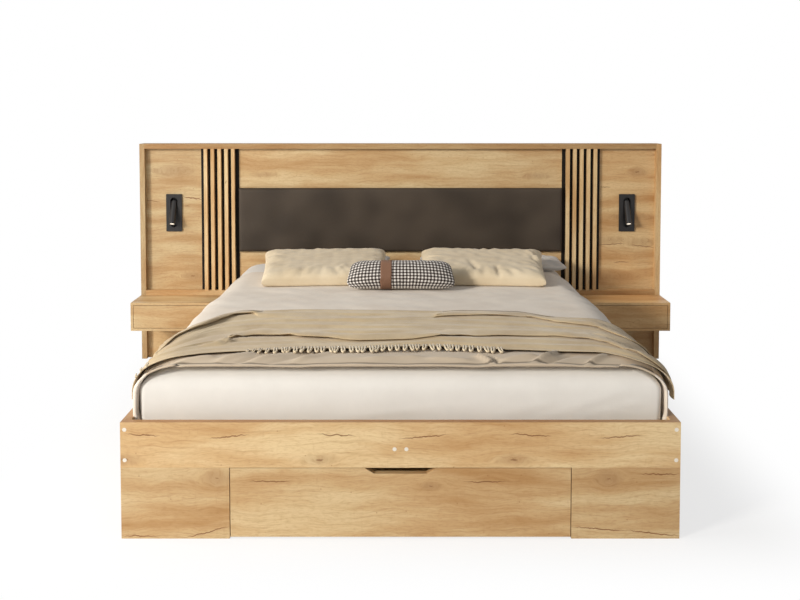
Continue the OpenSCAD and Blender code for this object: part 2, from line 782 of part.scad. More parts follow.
corner_brackets();
foot_drawer_front();
foot_drawer_box();
castor_forks();
wheel(-fork_x, fork_y[0]);  // wheel_front_left
wheel(fork_x, fork_y[0]);  // wheel_front_right
wheel(-fork_x, fork_y[1]);  // wheel_back_left
wheel(fork_x, fork_y[1]);  // wheel_back_right
mattress();
duvet();
throw();
pillow(-337, 4);  // pillow_left
pillow(366, -4);  // pillow_right
rear_pillows();
check_cushion();
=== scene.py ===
"""Looks of a double bed with a panelled headboard, two hanging nightstands, reading lamps and its bedding.

Lengths are metres in the bed's own frame: X to the right as seen from the foot end, Y towards the
headboard, Z up. The wooden and metal pieces and the lamps keep their solids and get a finish. The
pad's cover and all the bedding are modelled here, and take the place of their solids.
"""
import logging
import math
import random
from collections.abc import Iterable, Sequence
from dataclasses import dataclass, field
from enum import Enum

import bmesh
import bpy
import numpy as np
from mathutils import Euler, Matrix, Vector


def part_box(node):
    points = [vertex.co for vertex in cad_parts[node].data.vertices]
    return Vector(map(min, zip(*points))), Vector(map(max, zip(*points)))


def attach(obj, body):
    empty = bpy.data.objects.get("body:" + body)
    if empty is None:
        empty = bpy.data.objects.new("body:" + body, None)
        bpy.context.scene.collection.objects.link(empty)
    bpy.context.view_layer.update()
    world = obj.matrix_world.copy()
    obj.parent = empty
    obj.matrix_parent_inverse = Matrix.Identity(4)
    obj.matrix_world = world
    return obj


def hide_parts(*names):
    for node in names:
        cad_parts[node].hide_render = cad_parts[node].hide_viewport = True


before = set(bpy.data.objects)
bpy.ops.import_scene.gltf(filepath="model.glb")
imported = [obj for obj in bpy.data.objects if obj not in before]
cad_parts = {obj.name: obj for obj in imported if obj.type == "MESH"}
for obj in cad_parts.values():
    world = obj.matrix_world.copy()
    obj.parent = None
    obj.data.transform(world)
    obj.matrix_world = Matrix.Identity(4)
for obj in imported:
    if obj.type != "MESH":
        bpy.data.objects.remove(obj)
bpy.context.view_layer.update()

LOG = logging.getLogger("bed")
SEED = 7                            # of the fringe's uneven loops
WHITE = (1.0, 1.0, 1.0, 1.0)

Socket = bpy.types.NodeSocket
Tree = bpy.types.NodeTree
Object = bpy.types.Object
Point = tuple[float, float, float]


# ---------------------------------------------------------------- small helpers


def linear(code: str) -> tuple[float, float, float, float]:
    """Turns an sRGB hex colour into linear red, green, blue and alpha.

    Args:
        code: The colour as "#RRGGBB".

    Returns:
        Linear values from 0 to 1, with alpha 1.
    """
    parts = [int(code[i:i + 2], 16) / 255 for i in (1, 3, 5)]
    red, green, blue = (c / 12.92 if c <= 0.04045 else ((c + 0.055) / 1.055) ** 2.4 for c in parts)
    return red, green, blue, 1.0


def add(tree: Tree, kind: str, inputs: dict | None = None, out: int | str = 0,
        stops: Sequence[tuple[float, str]] = (), **settings: object) -> Socket | None:
    """Adds a node, sets its properties and inputs, and links what comes from other nodes.

    Args:
        tree: The node tree of a material or world.
        kind: The node's type name.
        inputs: Input name or index to a value, or to the socket that feeds it.
        out: The output that is handed back.
        stops: A colour ramp's positions from 0 to 1 with their hex colours.
        **settings: Properties of the node.

    Returns:
        The chosen output socket, or None where the node has none.
    """
    node = tree.nodes.new(kind)
    for name, value in settings.items():
        setattr(node, name, value)
    for i, (place, code) in enumerate(stops):
        element = node.color_ramp.elements[i] if i < 2 else node.color_ramp.elements.new(place)
        element.position = place
        element.color = linear(code)
    for name, value in (inputs or {}).items():
        if isinstance(value, bpy.types.NodeSocket):
            tree.links.new(value, node.inputs[name])
        else:
            node.inputs[name].default_value = value
    return node.outputs[out] if len(node.outputs) else None


def smoothstep(x: np.ndarray | float, low: float, high: float) -> np.ndarray | float:
    """Rises smoothly from 0 at low to 1 at high."""
    t = np.clip((np.asarray(x, float) - low) / (high - low), 0.0, 1.0)
    return t * t * (3 - 2 * t)


def deselect() -> None:
    """Leaves nothing selected, so that an operator acts on its own piece only."""
    if bpy.context.object and bpy.context.object.mode != "OBJECT":
        bpy.ops.object.mode_set(mode="OBJECT")
    bpy.ops.object.select_all(action="DESELECT")


def activate(piece: Object) -> None:
    """Selects one piece alone and makes it the active one."""
    deselect()
    piece.select_set(True)
    bpy.context.view_layer.objects.active = piece


def apply_modifiers(piece: Object) -> None:
    """Applies every modifier of a piece in order."""
    activate(piece)
    for modifier in list(piece.modifiers):
        bpy.ops.object.modifier_apply(modifier=modifier.name)


def new_object(name: str, data: bpy.types.ID) -> Object:
    """Puts a mesh, lamp or camera into the scene as an object, and returns it."""
    piece = bpy.data.objects.new(name, data)
    bpy.context.scene.collection.objects.link(piece)
    return piece


def new_mesh(name: str, points: Iterable, faces: Iterable) -> bpy.types.Mesh:
    """Makes a smooth mesh from points and faces, and returns it."""
    mesh = bpy.data.meshes.new(name)
    mesh.from_pydata([tuple(p) for p in points], [], faces)
    mesh.polygons.foreach_set("use_smooth", [True] * len(mesh.polygons))
    return mesh


def lay_uv(mesh: bpy.types.Mesh, points: np.ndarray) -> None:
    """Gives a mesh a UV map that counts metres over its grid of points.

    Args:
        mesh: The mesh, made of one such grid or of two, one after the other.
        points: The grid, of shape (rows, columns, 3).
    """
    across = np.linalg.norm(np.diff(points, axis=1), axis=2).mean(axis=0)
    along = np.linalg.norm(np.diff(points, axis=0), axis=2).mean(axis=1)
    across, along = (np.concatenate([[0.0], np.cumsum(steps)]) for steps in (across, along))
    layer = mesh.uv_layers.new(name="cloth")
    for loop in mesh.loops:
        row, col = divmod(loop.vertex_index % (len(along) * len(across)), len(across))
        layer.data[loop.index].uv = (across[col], along[row])


def grid_piece(name: str, points: np.ndarray, closed_rows: bool = False) -> Object:
    """Makes a mesh sheet from a grid of points.

    Args:
        name: The piece's name.
        points: Array of shape (rows, columns, 3).
        closed_rows: Joins the last column to the first.

    Returns:
        The new object, with a UV map that counts metres along the sheet.
    """
    rows, cols, _ = points.shape
    wrap = cols if closed_rows else cols - 1
    faces = [(i * cols + j, i * cols + (j + 1) % cols, (i + 1) * cols + (j + 1) % cols, (i + 1) * cols + j)
             for i in range(rows - 1) for j in range(wrap)]
    mesh = new_mesh(name, points.reshape(-1, 3), faces)
    lay_uv(mesh, points)
    return new_object(name, mesh)


def dress(piece: Object, material: bpy.types.Material, body: str = "bed",
          replaces: Sequence[str] = ()) -> Object:
    """Gives a new piece its finish, its body and the solids that it stands for.

    Args:
        piece: The new piece.
        material: Its finish.
        body: The body that it rides on.
        replaces: The solids that it stands for.

    Returns:
        The piece.
    """
    if not piece.data.materials:
        piece.data.materials.append(material)
    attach(piece, body)
    if replaces:
        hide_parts(*replaces)
    LOG.info("%s: %d faces on %s", piece.name, len(piece.data.polygons), body)
    return piece


# ---------------------------------------------------------------- finishes


class Grain(Enum):
    """The direction that a board's grain runs in, as the index of its axis."""

    X = 0
    Y = 1
    Z = 2


@dataclass(frozen=True)
class Crack:
    """A dark split in the oak decor, lens-shaped and slightly wavy.

    Attributes:
        along: Place of its middle along the grain, in metres.
        across: Place of its middle across the grain.
        length: Length.
        width: Greatest width.
        rise: How much its far end lies higher than its near end.
        depth: How dark it is, from 0 to 1.
    """

    along: float
    across: float
    length: float
    width: float = 0.0023
    rise: float = 0.0
    depth: float = 0.85


@dataclass(frozen=True)
class Knot:
    """A knot in the oak decor, which the grain flows round.

    Attributes:
        along: Place of its middle along the grain, in metres.
        across: Place of its middle across the grain.
        length: Length of the grain's swirl.
        height: Height of the swirl.
        eye: Diameter of the dark eye.
    """

    along: float
    across: float
    length: float = 0.09
    height: float = 0.05
    eye: float = 0.012


class Finish:
    """A finish that makes its material once and hands the same one out again."""

    name = "finish"

    def __init__(self) -> None:
        self._made: bpy.types.Material | None = None

    def material(self) -> bpy.types.Material:
        """Builds the material on its first use.

        Returns:
            The material, the same one each time.
        """
        if self._made is None:
            self._made = bpy.data.materials.new(self.name)
            self._made.use_nodes = True
            tree = self._made.node_tree
            tree.nodes.clear()
            shader = self.build(tree)
            add(tree, "ShaderNodeOutputMaterial", {"Surface": shader})
        return self._made

    def build(self, tree: Tree) -> Socket:
        """Builds the nodes and returns the surface shader."""
        raise NotImplementedError

    def give(self, *nodes: str) -> None:
        """Puts the finish on solids of the frame.

        Args:
            *nodes: The solids' names.
        """
        for node in nodes:
            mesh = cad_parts[node].data
            mesh.materials.clear()
            mesh.materials.append(self.material())


class OakLaminate(Finish):
    """Wild-oak decor on laminated board.

    A satin print of honey-coloured oak: soft tone bands, fine growth lines that flow round the knots,
    pin knots, faint upright flecks, and on the faces some long thin splits. The slight texture is
    pressed in, so the sheen breaks along the grain.
    """

    light, mid, deep, line, split = "#E2C89A", "#D2AF7F", "#BD925F", "#A57545", "#7A5030"
    band = "#8F5E34"            # brown painted on upward faces: painted shade, as they get less light
    band_pitch = 0.085          # tone bands across the grain
    ring_pitch = 0.017          # growth lines, drawn coarser than the real 2 to 4 mm so that they show
    fine_pitch = 0.0062         # the finest lines that still show
    pin_pitch = 0.085           # distance between pin knots

    def __init__(self, name: str, grain: Grain, face: float = 0.0, shift: Point = (0.0, 0.0, 0.0),
                 marks: Sequence[Crack | Knot] = (), shade: float = 1.0, upper: float = 1.0,
                 warm: float = 0.0) -> None:
        """Describes the decor of one group of boards.

        Args:
            name: The material's name.
            grain: The axis that the grain follows.
            face: Place of the board's front face, where the marks are measured.
            shift: Moves the pattern, so that boards differ.
            marks: Knots and splits, in metres along and across the grain.
            shade: Brightness of this cut of the decor; the differences between boards are partly painted
                light and shade, set for how much light each board gets.
            upper: How much of the face's print shows on the upward faces, where 0 is all brown painted shade
                for the light that they lack.
            warm: How much browner this cut is than the usual one, as the share of blue that it lacks: painted
                shade, browner where the boards lie in shade.
        """
        super().__init__()
        self.name, self.grain, self.face, self.shift = name, grain, face, shift
        self.marks, self.shade, self.upper, self.warm = marks, shade, upper, warm

    def plane(self, tree: Tree) -> tuple[Socket, Socket]:
        """Follows the grain, with the print running on over the board's edges.

        Args:
            tree: The material's node tree.

        Returns:
            The distances along and across the grain.
        """
        place = add(tree, "ShaderNodeTexCoord", out="Object")
        parts = add(tree, "ShaderNodeSeparateXYZ", {0: place}).node.outputs
        others = [parts[i] for i in range(3) if i != self.grain.value]
        across = add(tree, "ShaderNodeMath", {0: others[0], 1: others[1]}, operation="ADD")
        across = add(tree, "ShaderNodeMath", {0: across, 1: self.face}, operation="SUBTRACT")
        return parts[self.grain.value], across

    def local(self, tree: Tree, point: Socket, mark: Crack | Knot, size: tuple[float, float],
              turn: float = 0.0) -> Socket:
        """Measures from a mark's middle.

        Args:
            tree: The material's node tree.
            point: The place in the grain.
            mark: The knot or split.
            size: Half length and half height, which are the units.
            turn: How far the mark is turned, in radians.

        Returns:
            The place relative to the mark.
        """
        return add(tree, "ShaderNodeMapping", {
            "Vector": point, "Location": (mark.along, mark.across, 0.0), "Rotation": (0.0, 0.0, turn),
            "Scale": (size[0], size[1], 1.0)}, vector_type="TEXTURE")

    def cloud(self, tree: Tree, point: Socket, along: float, across: float, detail: float = 3.0) -> Socket:
        """Makes a soft noise that is drawn out along the grain.

        Args:
            tree: The material's node tree.
            point: The place in the grain.
            along: Its pitch along the grain.
            across: Its pitch across the grain.
            detail: How fine it gets.

        Returns:
            The noise, from 0 to 1.
        """
        scaled = add(tree, "ShaderNodeMapping", {"Vector": point, "Scale": (1 / along, 1 / across, 1.0)})
        return add(tree, "ShaderNodeTexNoise", {
            "Vector": scaled, "Scale": 1.0, "Detail": detail, "Roughness": 0.58})

    def rings(self, tree: Tree, point: Socket, pitch: float, sharp: float, along: float) -> Socket:
        """Returns growth lines that flow along the grain, and fade in and out.

        Args:
            tree: The material's node tree.
            point: The place in the grain.
            pitch: Usual distance between lines.
            sharp: Height of the wave above which a line shows, from 0 to 1.
            along: Distance over which a line wanders.

        Returns:
            The lines' strength, from 0 to 1.
        """
        wander = self.cloud(tree, point, along, pitch * 5.0, 2.0)
        across = add(tree, "ShaderNodeSeparateXYZ", {0: point}, out="Y")
        count = add(tree, "ShaderNodeMath", {0: across, 1: 2 * math.pi / pitch}, operation="MULTIPLY")
        count = add(tree, "ShaderNodeMath", {0: wander, 1: 26.0, 2: count}, operation="MULTIPLY_ADD")
        wave = add(tree, "ShaderNodeMath", {0: count}, operation="SINE")
        line = add(tree, "ShaderNodeMapRange", {"Value": wave, "From Min": sharp, "From Max": 1.0},
                   interpolation_type="SMOOTHSTEP")
        fade = add(tree, "ShaderNodeMapRange", {
            "Value": self.cloud(tree, point, along * 0.6, pitch * 2.2), "From Min": 0.42, "From Max": 0.62})
        return add(tree, "ShaderNodeMath", {0: line, 1: fade}, operation="MULTIPLY")

    def build(self, tree: Tree) -> Socket:
        """Builds the decor's colour, sheen and relief.

        Args:
            tree: The material's node tree.

        Returns:
            The surface shader.
        """
        along, across = self.plane(tree)
        flat = add(tree, "ShaderNodeCombineXYZ", {0: along, 1: across})
        moved = add(tree, "ShaderNodeVectorMath", {0: flat, 1: self.shift}, operation="ADD")
        # The grain wanders by some millimetres, and flows round each knot
        lift = add(tree, "ShaderNodeMath", {0: self.cloud(tree, moved, 0.30, 0.16), 1: 0.5},
                   operation="SUBTRACT")
        lift = add(tree, "ShaderNodeMath", {0: lift, 1: 0.060}, operation="MULTIPLY")
        jitter = add(tree, "ShaderNodeMath", {
            0: self.cloud(tree, moved, 0.020, 0.05, 2.0), 1: 0.5}, operation="SUBTRACT")
        jitter = add(tree, "ShaderNodeMath", {0: jitter, 1: 0.012, 2: across}, operation="MULTIPLY_ADD")
        wavy = add(tree, "ShaderNodeCombineXYZ", {0: along, 1: jitter})
        dark: Socket | None = None
        for mark in self.marks:
            if isinstance(mark, Knot):
                lift, spot = self.knot(tree, wavy, mark, lift)
            else:
                spot = self.crack(tree, wavy, mark)
            dark = spot if dark is None else add(
                tree, "ShaderNodeMath", {0: dark, 1: spot}, operation="MAXIMUM")
        offset = add(tree, "ShaderNodeCombineXYZ", {1: lift})
        grain = add(tree, "ShaderNodeVectorMath", {0: moved, 1: offset}, operation="ADD")

        bands = self.cloud(tree, grain, 0.60, self.band_pitch, 5.0)
        colour = add(tree, "ShaderNodeValToRGB", {"Fac": bands}, stops=[
            (0.30, self.deep), (0.46, self.mid), (0.60, self.light)])
        rings = self.rings(tree, grain, self.ring_pitch, 0.35, 0.30)
        fine = self.rings(tree, grain, self.fine_pitch, 0.0, 0.12)
        upright = add(tree, "ShaderNodeMapRange", {
            "Value": self.cloud(tree, moved, 0.010, 0.050, 2.0), "From Min": 0.62, "From Max": 0.78})
        pores = add(tree, "ShaderNodeMapRange", {
            "Value": self.cloud(tree, grain, 0.018, 0.0042, 3.0), "From Min": 0.48, "From Max": 0.72})
        pins = self.pins(tree, moved)
        for source, depth in ((rings, 0.24), (fine, 0.20), (upright, 0.16), (pores, 0.30), (pins, 0.6)):
            part = add(tree, "ShaderNodeMath", {0: source, 1: depth}, operation="MULTIPLY")
            colour = add(tree, "ShaderNodeMix", {0: part, 6: colour, 7: linear(self.line)}, out=2,
                         data_type="RGBA")
        # Painted light and shade: each board's brightness and browner tint, set for the light that it gets
        cut = (self.shade, self.shade * (1 - self.warm / 2), self.shade * (1 - self.warm))
        colour = add(tree, "ShaderNodeVectorMath", {0: colour, 1: cut}, operation="MULTIPLY")
        # Painted shade: faces that look upward are mixed towards brown, since they get less light
        if self.upper != 1.0:
            normal = add(tree, "ShaderNodeTexCoord", out="Normal")
            rise = add(tree, "ShaderNodeSeparateXYZ", {0: normal}, out="Z")
            level = add(tree, "ShaderNodeMapRange", {
                "Value": rise, "From Min": 0.5, "From Max": 0.9, "To Min": 0.0, "To Max": 1.0 - self.upper})
            colour = add(tree, "ShaderNodeMix", {
                0: level, 6: colour, 7: linear(self.band)}, out=2, data_type="RGBA")
        if dark is not None:
            colour = add(tree, "ShaderNodeMix", {0: dark, 6: colour, 7: linear(self.split)}, out=2,
                         data_type="RGBA")
        relief = add(tree, "ShaderNodeMath", {0: rings, 1: pores}, operation="ADD")
        bump = add(tree, "ShaderNodeBump", {"Height": relief, "Strength": 0.12, "Distance": 0.0004},
                   invert=True)
        sheen = add(tree, "ShaderNodeMapRange", {
            "Value": bands, "From Min": 0.3, "From Max": 0.7, "To Min": 0.52, "To Max": 0.44})
        return add(tree, "ShaderNodeBsdfPrincipled", {
            "Base Color": colour, "Roughness": sheen, "Normal": bump, "Specular IOR Level": 0.25})

    def pins(self, tree: Tree, point: Socket) -> Socket:
        """Makes pin knots: small dark dots, in about every third cell of an uneven grid.

        Args:
            tree: The material's node tree.
            point: The place in the grain.

        Returns:
            The dots' strength, from 0 to 1.
        """
        cells = add(tree, "ShaderNodeTexVoronoi", {"Vector": point, "Scale": 1 / self.pin_pitch},
                    out="Distance", voronoi_dimensions="2D")
        chosen = add(tree, "ShaderNodeMath", {
            0: add(tree, "ShaderNodeSeparateColor", {0: cells.node.outputs["Color"]}), 1: 0.66},
            operation="GREATER_THAN")
        dot = add(tree, "ShaderNodeMapRange", {"Value": cells, "From Min": 0.034, "From Max": 0.012})
        return add(tree, "ShaderNodeMath", {0: dot, 1: chosen}, operation="MULTIPLY")

    def crack(self, tree: Tree, point: Socket, mark: Crack) -> Socket:
        """Makes one split.

        Args:
            tree: The material's node tree.
            point: The place in the grain.
            mark: The split.

        Returns:
            How dark it makes the print, from 0 to its depth.
        """
        place = self.local(tree, point, mark, (mark.length * 0.60, mark.width),
                           math.atan2(mark.rise, mark.length))
        reach = add(tree, "ShaderNodeVectorMath", {0: place}, out="Value", operation="LENGTH")
        return add(tree, "ShaderNodeMapRange", {
            "Value": reach, "From Min": 1.0, "From Max": 0.55, "To Min": 0.0, "To Max": mark.depth},
            interpolation_type="SMOOTHSTEP")

    def knot(self, tree: Tree, point: Socket, mark: Knot, lift: Socket) -> tuple[Socket, Socket]:
        """Bends the grain round a knot.

        Args:
            tree: The material's node tree.
            point: The place in the grain.
            mark: The knot.
            lift: How far the grain is moved across so far.

        Returns:
            The new lift, and the knot's darkness.
        """
        place = self.local(tree, point, mark, (mark.length / 2, mark.height / 2))
        square = add(tree, "ShaderNodeVectorMath", {0: place, 1: place}, out="Value", operation="DOT_PRODUCT")
        fade = add(tree, "ShaderNodeMath", {0: square, 1: -1.0}, operation="MULTIPLY")
        fade = add(tree, "ShaderNodeMath", {0: fade}, operation="EXPONENT")
        side = add(tree, "ShaderNodeSeparateXYZ", {0: place}, out="Y")
        push = add(tree, "ShaderNodeMath", {0: side, 1: fade}, operation="MULTIPLY")
        lift = add(tree, "ShaderNodeMath", {0: push, 1: -0.55 * mark.height, 2: lift},
                   operation="MULTIPLY_ADD")
        inner = self.local(tree, point, mark, (mark.eye * 1.5, mark.eye * 0.45))
        reach = add(tree, "ShaderNodeVectorMath", {0: inner}, out="Value", operation="LENGTH")
        eye = add(tree, "ShaderNodeMapRange", {
            "Value": reach, "From Min": 1.0, "From Max": 0.3, "To Min": 0.0, "To Max": 0.75},
            interpolation_type="SMOOTHSTEP")
        halo = add(tree, "ShaderNodeMapRange", {
            "Value": square, "From Min": 0.7, "From Max": 0.0, "To Min": 0.0, "To Max": 0.26})
        return lift, add(tree, "ShaderNodeMath", {0: eye, 1: halo}, operation="MAXIMUM")


class Timber(Finish):
    """Bare planed pine or birch: pale, matt, with soft growth lines along the piece."""

    def __init__(self, name: str, grain: Grain, light: str, dark: str, pitch: float) -> None:
        """Describes one timber.

        Args:
            name: The material's name.
            grain: The axis that the grain follows.
            light: Early wood.
            dark: Late wood.
            pitch: Distance between growth lines.
        """
        super().__init__()
        self.name, self.grain, self.light, self.dark, self.pitch = name, grain, light, dark, pitch

    def build(self, tree: Tree) -> Socket:
        """Builds growth lines and a fine fibre relief.

        Args:
            tree: The material's node tree.

        Returns:
            The surface shader.
        """
        scale = [1 / self.pitch] * 3
        scale[self.grain.value] = 1.2
        place = add(tree, "ShaderNodeMapping", {
            "Vector": add(tree, "ShaderNodeTexCoord", out="Object"), "Scale": tuple(scale)})
        lines = add(tree, "ShaderNodeTexNoise", {
            "Vector": place, "Scale": 1.0, "Detail": 4.0, "Roughness": 0.6, "Distortion": 0.6})
        colour = add(tree, "ShaderNodeValToRGB", {"Fac": lines},
                     stops=[(0.35, self.dark), (0.60, self.light)])
        bump = add(tree, "ShaderNodeBump", {"Height": lines, "Strength": 0.15, "Distance": 0.0006})
        return add(tree, "ShaderNodeBsdfPrincipled", {
            "Base Color": colour, "Roughness": 0.62, "Normal": bump, "Specular IOR Level": 0.3})


class BlackLaminate(Finish):
    """Matt near-black decor behind the oak strips, its faint pressed grain unlike flat paint."""

    name = "matt_black_laminate"

    def build(self, tree: Tree) -> Socket:
        """Builds a near-black face with an upright pressed grain.

        Args:
            tree: The material's node tree.

        Returns:
            The surface shader.
        """
        place = add(tree, "ShaderNodeMapping", {
            "Vector": add(tree, "ShaderNodeTexCoord", out="Object"), "Scale": (700.0, 700.0, 25.0)})
        grain = add(tree, "ShaderNodeTexNoise", {"Vector": place, "Scale": 1.0, "Detail": 2.0})
        colour = add(tree, "ShaderNodeValToRGB", {"Fac": grain}, stops=[(0.3, "#0B0705"), (0.7, "#15100B")])
        bump = add(tree, "ShaderNodeBump", {"Height": grain, "Strength": 0.2, "Distance": 0.0003})
        return add(tree, "ShaderNodeBsdfPrincipled", {
            "Base Color": colour, "Roughness": 0.68, "Normal": bump, "Specular IOR Level": 0.2})


class ImitationLeather(Finish):
    """Polyurethane-coated upholstery cloth: dull satin, with an embossed pebble grain of about 1.5 mm."""

    def __init__(self, name: str, dark: str, light: str, grain: float, strength: float,
                 roughness: float) -> None:
        """Describes one leather.

        Args:
            name: The material's name.
            dark: Colour in the grain's valleys.
            light: Colour on the pebbles.
            grain: Size of a pebble, in metres.
            strength: Strength of the relief.
            roughness: Roughness of the coat.
        """
        super().__init__()
        self.name, self.dark, self.light = name, dark, light
        self.grain, self.strength, self.roughness = grain, strength, roughness

    def build(self, tree: Tree) -> Socket:
        """Builds pebbles with softly uneven tone.

        Args:
            tree: The material's node tree.

        Returns:
            The surface shader.
        """
        place = add(tree, "ShaderNodeTexCoord", out="Object")
        cells = add(tree, "ShaderNodeTexVoronoi", {"Vector": place, "Scale": 1 / self.grain}, out="Distance",
                    feature="SMOOTH_F1")
        cloud = add(tree, "ShaderNodeTexNoise", {"Vector": place, "Scale": 5.0, "Detail": 1.0})
        tone = add(tree, "ShaderNodeMath", {0: cells, 1: -0.25, 2: cloud}, operation="MULTIPLY_ADD")
        colour = add(tree, "ShaderNodeValToRGB", {"Fac": tone}, stops=[(0.15, self.dark), (0.55, self.light)])
        bump = add(tree, "ShaderNodeBump", {
            "Height": cells, "Strength": self.strength, "Distance": 0.0005}, invert=True)
        return add(tree, "ShaderNodeBsdfPrincipled", {
            "Base Color": colour, "Roughness": self.roughness, "Normal": bump, "Specular IOR Level": 0.2})


class PowderCoat(Finish):
    """Anthracite powder coat on a die casting: an even fine orange-peel with a soft sheen."""

    name = "anthracite_powder_coat"

    def build(self, tree: Tree) -> Socket:
        """Builds the coat's tone and its 0.6 mm texture.

        Args:
            tree: The material's node tree.

        Returns:
            The surface shader.
        """
        place = add(tree, "ShaderNodeTexCoord", out="Object")
        peel = add(tree, "ShaderNodeTexNoise", {"Vector": place, "Scale": 1700.0, "Detail": 2.0})
        colour = add(tree, "ShaderNodeValToRGB", {"Fac": peel}, stops=[(0.3, "#1B1918"), (0.7, "#252221")])
        bump = add(tree, "ShaderNodeBump", {"Height": peel, "Strength": 0.15, "Distance": 0.0002})
        return add(tree, "ShaderNodeBsdfPrincipled", {
            "Base Color": colour, "Roughness": 0.36, "Normal": bump, "Specular IOR Level": 0.4})


class OpalLens(Finish):
    """Opal diffuser in front of the lamp's diode, lit: warm white and brightest in the middle."""

    name = "lit_opal_acrylic"

    def build(self, tree: Tree) -> Socket:
        """Builds a glowing face with a faint frosted grain.

        Args:
            tree: The material's node tree.

        Returns:
            The surface shader.
        """
        place = add(tree, "ShaderNodeTexCoord", out="Object")
        frost = add(tree, "ShaderNodeTexNoise", {"Vector": place, "Scale": 900.0, "Detail": 1.0})
        colour = add(tree, "ShaderNodeValToRGB", {"Fac": frost}, stops=[(0.2, "#FFF3DA"), (0.8, "#FFFAEE")])
        return add(tree, "ShaderNodeBsdfPrincipled", {
            "Base Color": colour, "Roughness": 0.35, "Emission Color": colour, "Emission Strength": 1.0})


class SpeckledSurface(Finish):
    """A plain moulded, plated or rubber surface, told apart by its colour, sheen and fine texture."""

    def __init__(self, name: str, dark: str, light: str, grain: float, roughness: float,
                 metallic: float = 0.0) -> None:
        """Describes one surface.

        Args:
            name: The material's name.
            dark: Colour in the low spots.
            light: Colour on the high spots.
            grain: Size of the texture, in metres.
            roughness: Roughness.
            metallic: 1 for bare metal.
        """
        super().__init__()
        self.name, self.dark, self.light, self.grain = name, dark, light, grain
        self.roughness, self.metallic = roughness, metallic

    def build(self, tree: Tree) -> Socket:
        """Builds an even speckle with a matching relief.

        Args:
            tree: The material's node tree.

        Returns:
            The surface shader.
        """
        place = add(tree, "ShaderNodeTexCoord", out="Object")
        speck = add(tree, "ShaderNodeTexNoise", {"Vector": place, "Scale": 1 / self.grain, "Detail": 3.0})
        colour = add(tree, "ShaderNodeValToRGB", {"Fac": speck}, stops=[(0.3, self.dark), (0.7, self.light)])
        bump = add(tree, "ShaderNodeBump", {"Height": speck, "Strength": 0.1, "Distance": 0.0002})
        return add(tree, "ShaderNodeBsdfPrincipled", {
            "Base Color": colour, "Roughness": self.roughness, "Metallic": self.metallic, "Normal": bump})


class WovenCloth(Finish):
    """Woven or knitted cloth: dull, with a soft sheen at grazing angles and threads that catch light."""

    def __init__(self, name: str, dark: str, light: str, thread: float, relief: float = 0.25,
                 sheen: float = 0.25, rib: float = 1.0, uv: str | None = None, tint: float = 0.05) -> None:
        """Describes one cloth.

        Args:
            name: The material's name.
            dark: Colour between the threads and in the cloth's dull patches.
            light: Colour on the threads.
            thread: Thread spacing, drawn coarse enough to show.
            relief: Strength of the weave's relief.
            sheen: Weight of the fibre sheen.
            rib: Thread spacing along the cloth over the spacing across it.
            uv: UV map that the weave follows, or None for the place in space.
            tint: How much the threads differ from the gaps in tone.
        """
        super().__init__()
        self.name, self.dark, self.light, self.thread = name, dark, light, thread
        self.relief, self.sheen, self.rib, self.uv, self.tint = relief, sheen, rib, uv, tint

    def weave_place(self, tree: Tree) -> Socket:
        """Returns the coordinates that the weave follows."""
        if self.uv:
            return add(tree, "ShaderNodeUVMap", uv_map=self.uv)
        return add(tree, "ShaderNodeTexCoord", out="Object")

    def build(self, tree: Tree) -> Socket:
        """Builds the weave from two crossing sets of threads and a cloudy tone.

        Args:
            tree: The material's node tree.

        Returns:
            The surface shader.
        """
        place = self.weave_place(tree)
        turns = 2 * math.pi / self.thread
        scaled = add(tree, "ShaderNodeMapping", {"Vector": place, "Scale": (turns, turns / self.rib, turns)})
        parts = add(tree, "ShaderNodeSeparateXYZ", {0: scaled}).node.outputs
        waves = [add(tree, "ShaderNodeMath", {0: part}, operation="SINE") for part in parts]
        weave = add(tree, "ShaderNodeMath", {0: waves[0], 1: waves[1]}, operation="MULTIPLY")
        if not self.uv:
            weave = add(tree, "ShaderNodeMath", {0: waves[2], 1: 0.6, 2: weave}, operation="MULTIPLY_ADD")
        cloud = add(tree, "ShaderNodeTexNoise", {
            "Vector": add(tree, "ShaderNodeTexCoord", out="Object"), "Scale": 7.0, "Detail": 5.0,
            "Roughness": 0.6})
        tone = add(tree, "ShaderNodeMath", {0: weave, 1: self.tint, 2: cloud}, operation="MULTIPLY_ADD")
        colour = add(tree, "ShaderNodeValToRGB", {"Fac": tone}, stops=[(0.30, self.dark), (0.62, self.light)])
        colour = self.add_painted_shade(tree, colour)
        bump = add(tree, "ShaderNodeBump", {"Height": weave, "Strength": self.relief, "Distance": 0.0004})
        return add(tree, "ShaderNodeBsdfPrincipled", {
            "Base Color": colour, "Roughness": 0.88, "Normal": bump, "Specular IOR Level": 0.2,
            "Sheen Weight": self.sheen, "Sheen Roughness": 0.5, "Sheen Tint": linear("#FFFFFF")})

    def add_painted_shade(self, tree: Tree, colour: Socket) -> Socket:
        """Returns the cloth's colour with its painted shade, which plain cloth hasn't got."""
        return colour


